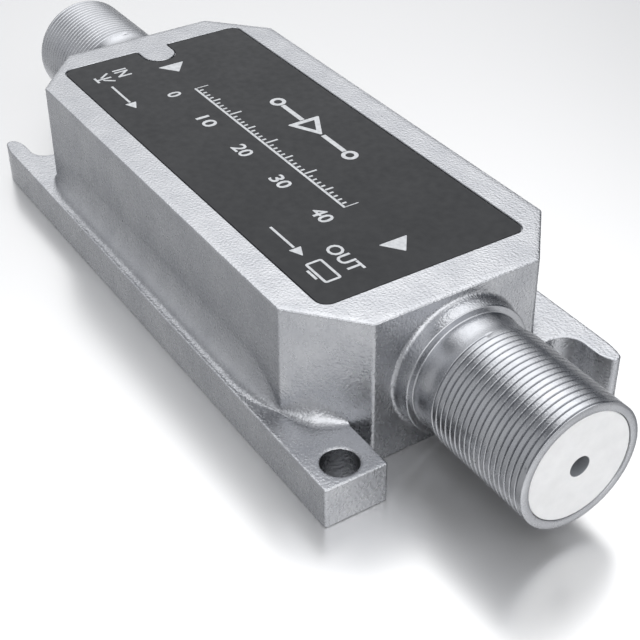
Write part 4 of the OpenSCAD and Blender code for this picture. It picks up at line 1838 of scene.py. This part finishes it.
@dataclass(frozen=True)
class FloorFinish:
    """The floor: matt white with a share of soft gloss, which mirrors the object faintly."""

    name: str
    white: float = 0.42
    gloss: float = 0.50
    gloss_white: float = 0.95
    roughness: float = 0.27

    def material(self) -> bpy.types.Material:
        """Lays out the material.

        Returns:
            The material.
        """
        made = bpy.data.materials.new(self.name)
        made.use_nodes = True
        tree = made.node_tree
        tree.nodes.clear()
        output = tree.nodes.new("ShaderNodeOutputMaterial")
        mix = tree.nodes.new("ShaderNodeMixShader")
        matt = tree.nodes.new("ShaderNodeBsdfDiffuse")
        sheen = tree.nodes.new("ShaderNodeBsdfAnisotropic")
        matt.inputs["Color"].default_value = (self.white,) * 3 + (1,)
        sheen.inputs["Color"].default_value = (self.gloss_white,) * 3 + (1,)
        sheen.inputs["Roughness"].default_value = self.roughness
        mix.inputs[0].default_value = self.gloss
        tree.links.new(matt.outputs[0], mix.inputs[1])
        tree.links.new(sheen.outputs[0], mix.inputs[2])
        tree.links.new(mix.outputs[0], output.inputs["Surface"])
        return made


@dataclass
class Studio:
    """Floor, sky and camera. The sky gives all the light."""

    camera_at: Triple = (79.115, -45.828, 62.084)
    camera_back: Triple = (0.68058, -0.42982, 0.59336)
    camera_roll_deg: float = -0.554
    lens: float = 74.19
    sensor_width: float = 36.0
    clip: tuple[float, float] = (0.001, 20.0)
    floor_half: float = 3.0
    floor_drop: float = 0.00002
    floor_finish: FloorFinish = FloorFinish("white_floor")
    ambient: float = 0.10
    ambient_tint: Colour = (0.84, 0.93, 1.12)
    glows: tuple[Glow, ...] = (
        Glow(225, 12, 0.85), Glow(22.5, 38, 2.4), Glow(157.5, 38, 1.35),
        Glow(292.5, 38, 1.7), Glow(337.5, 38, 1.0), Glow(135, 64, 1.95), Glow(315, 64, 0.5),
    )

    def build(self) -> None:
        """Makes the whole studio."""
        self.camera()
        self.floor()
        self.sky()
        bpy.context.scene.view_settings.view_transform = "Standard"

    def camera(self) -> None:
        """Makes the camera: right and up follow from its back direction, then roll."""
        lens = bpy.data.cameras.new("camera")
        lens.lens, lens.sensor_width = self.lens, self.sensor_width
        lens.clip_start, lens.clip_end = self.clip
        made = bpy.data.objects.new("camera", lens)
        back = Vector(self.camera_back).normalized()
        right = (-back).cross(Vector((0, 0, 1))).normalized()
        up = right.cross(-back)
        roll = math.radians(self.camera_roll_deg)
        turned_right = right * math.cos(roll) + up * math.sin(roll)
        turned_up = -right * math.sin(roll) + up * math.cos(roll)
        turn = Matrix((turned_right, turned_up, back)).transposed()
        made.matrix_world = Matrix.Translation(Vector(self.camera_at) * METRES_PER_MM) @ turn.to_4x4()
        bpy.context.scene.collection.objects.link(made)
        bpy.context.scene.camera = made

    def floor(self) -> None:
        """Makes the glossy white floor."""
        half = self.floor_half
        mesh = bpy.data.meshes.new("floor")
        corners = [(-half, -half), (half, -half), (half, half), (-half, half)]
        mesh.from_pydata([(x, y, -self.floor_drop) for x, y in corners], [], [(0, 1, 2, 3)])
        mesh.materials.append(self.floor_finish.material())
        made = bpy.data.objects.new("floor", mesh)
        bpy.context.scene.collection.objects.link(made)

    def sky(self) -> None:
        """Makes the sky: a faint cool light all round, and the glows, each a smooth step."""
        world = bpy.data.worlds.new("studio_sky")
        world.use_nodes = True
        tree = world.node_tree
        tree.nodes.clear()
        place = tree.nodes.new("ShaderNodeTexCoord").outputs["Generated"]
        total = None
        for glow in self.glows:
            dot = tree.nodes.new("ShaderNodeVectorMath")
            dot.operation = "DOT_PRODUCT"
            dot.inputs[1].default_value = glow.way()
            tree.links.new(place, dot.inputs[0])
            step = tree.nodes.new("ShaderNodeMapRange")
            step.interpolation_type = "SMOOTHSTEP"
            step.inputs["From Min"].default_value = math.cos(math.radians(glow.edge_deg))
            step.inputs["From Max"].default_value = math.cos(math.radians(glow.core_deg))
            step.inputs["To Min"].default_value = 0.0
            step.inputs["To Max"].default_value = glow.strength
            tree.links.new(dot.outputs["Value"], step.inputs["Value"])
            if total is None:
                total = step.outputs["Result"]
                continue
            add = tree.nodes.new("ShaderNodeMath")
            tree.links.new(total, add.inputs[0])
            tree.links.new(step.outputs["Result"], add.inputs[1])
            total = add.outputs["Value"]
        bright = tree.nodes.new("ShaderNodeBackground")
        tree.links.new(total, bright.inputs["Strength"])
        faint = tree.nodes.new("ShaderNodeBackground")
        faint.inputs["Color"].default_value = (*self.ambient_tint, 1)
        faint.inputs["Strength"].default_value = self.ambient
        both = tree.nodes.new("ShaderNodeAddShader")
        output = tree.nodes.new("ShaderNodeOutputWorld")
        tree.links.new(bright.outputs[0], both.inputs[0])
        tree.links.new(faint.outputs[0], both.inputs[1])
        tree.links.new(both.outputs[0], output.inputs["Surface"])
        bpy.context.scene.world = world


# Inner pieces


@dataclass
class InnerParts:
    """The CAD nodes inside the housing, which keep their shapes and get their finishes."""

    natural: MouldedPlastic = MouldedPlastic("natural_insulator", (0.66, 0.62, 0.52), (0.78, 0.75, 0.66))
    brass: RolledMetal = RolledMetal("contact_metal", (0.62, 0.42, 0.16), (0.80, 0.60, 0.28))
    wire: RolledMetal = RolledMetal(
        "enamelled_wire", (0.42, 0.13, 0.05), (0.62, 0.22, 0.08), roughness=(0.18, 0.3)
    )
    board: Laminate = Laminate("board_laminate")
    solder: FiredBody = FiredBody(
        "solder", (0.42, 0.43, 0.45), (0.66, 0.67, 0.69), 0.25, 0.02, (0.22, 0.36), 1.0
    )
    ceramic: FiredBody = FiredBody("ceramic_chip", (0.30, 0.19, 0.10), (0.46, 0.31, 0.18), 0.06, 0.003)
    resistor: FiredBody = FiredBody(
        "resistor_body", (0.015, 0.015, 0.017), (0.05, 0.05, 0.055), 0.08, 0.003
    )
    ferrite: FiredBody = FiredBody(
        "ferrite", (0.020, 0.020, 0.022), (0.06, 0.06, 0.065), 0.12, 0.01, (0.5, 0.75)
    )
    package: MouldedPlastic = MouldedPlastic(
        "moulded_package", (0.012, 0.012, 0.013), (0.030, 0.030, 0.032), (0.45, 0.62), 0.06, 0.006
    )
    capacitor: MouldedPlastic = MouldedPlastic(
        "capacitor_body", (0.62, 0.40, 0.05), (0.76, 0.53, 0.10), (0.4, 0.55), 0.08, 0.004
    )

    def groups(self) -> list[tuple[Finish, tuple[str, ...]]]:
        """Gives each finish and the nodes that wear it.

        Returns:
            The finishes with their nodes' names.
        """
        return [
            (self.natural, ("input_rear_insulator", "output_rear_insulator")),
            (self.brass, ("input_contact", "output_contact")),
            (self.wire, ("input_choke_winding", "output_choke_winding")),
            (self.board, ("circuit_board",)),
            (self.solder, ("ground_solder_joints", "contact_solder_joints")),
            (self.ceramic, (
                "input_signal_capacitor", "interstage_capacitor", "output_signal_capacitor",
                "bypass_capacitors",
            )),
            (self.resistor, ("bias_resistors",)),
            (self.ferrite, (
                "input_choke_rod", "output_choke_rod", "first_feed_inductor", "second_feed_inductor",
            )),
            (self.package, (
                "first_stage_chip", "second_stage_chip", "voltage_regulator", "protection_diode",
            )),
            (self.capacitor, ("filter_capacitor",)),
        ]

    def dress(self) -> None:
        """Gives every inner node its finish."""
        count = 0
        for finish, names in self.groups():
            made = finish.material()
            for name in names:
                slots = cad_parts[name].data.materials
                slots.clear()
                slots.append(made)
            count += len(names)
        log.info("inner nodes dressed: %d", count)


def main() -> None:
    """Builds every piece in order."""
    logging.basicConfig(level=logging.INFO, format="%(name)s: %(message)s")
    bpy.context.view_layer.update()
    Studio().build()
    cast = CastMetal("die_cast").material()
    turned = CastMetal(
        "port_metal", pebble_mm=0.15, pebble_depth_mm=0.010, grain_depth_mm=0.004, smooth=0.21, rough=0.29
    ).material()
    casting = Casting()
    casting.build(cast, turned)
    white = MouldedPlastic(
        "white_insulator", (0.74, 0.74, 0.74), (0.80, 0.80, 0.80), under_skin=0.15
    ).material()
    # A darker grey for the inside of the insulators' wire holes: painted shade, since the holes are the
    # same white plastic as the disc.
    hole_shade = MouldedPlastic("wire_hole_painted_shade", (0.19, 0.20, 0.215), (0.27, 0.28, 0.295)).material()
    for end in End:
        FrontInsulator().build(end, white, hole_shade)
    tinned = RolledMetal("tinned_sheet", (0.52, 0.53, 0.54), (0.66, 0.67, 0.68)).material()
    BottomCover().build(casting, tinned)
    LabelPlate().build(PrintedSheet("label_lacquer").material(), ScreenInk("label_ink").material())
    InnerParts().dress()


if __name__ == "__main__":
    main()
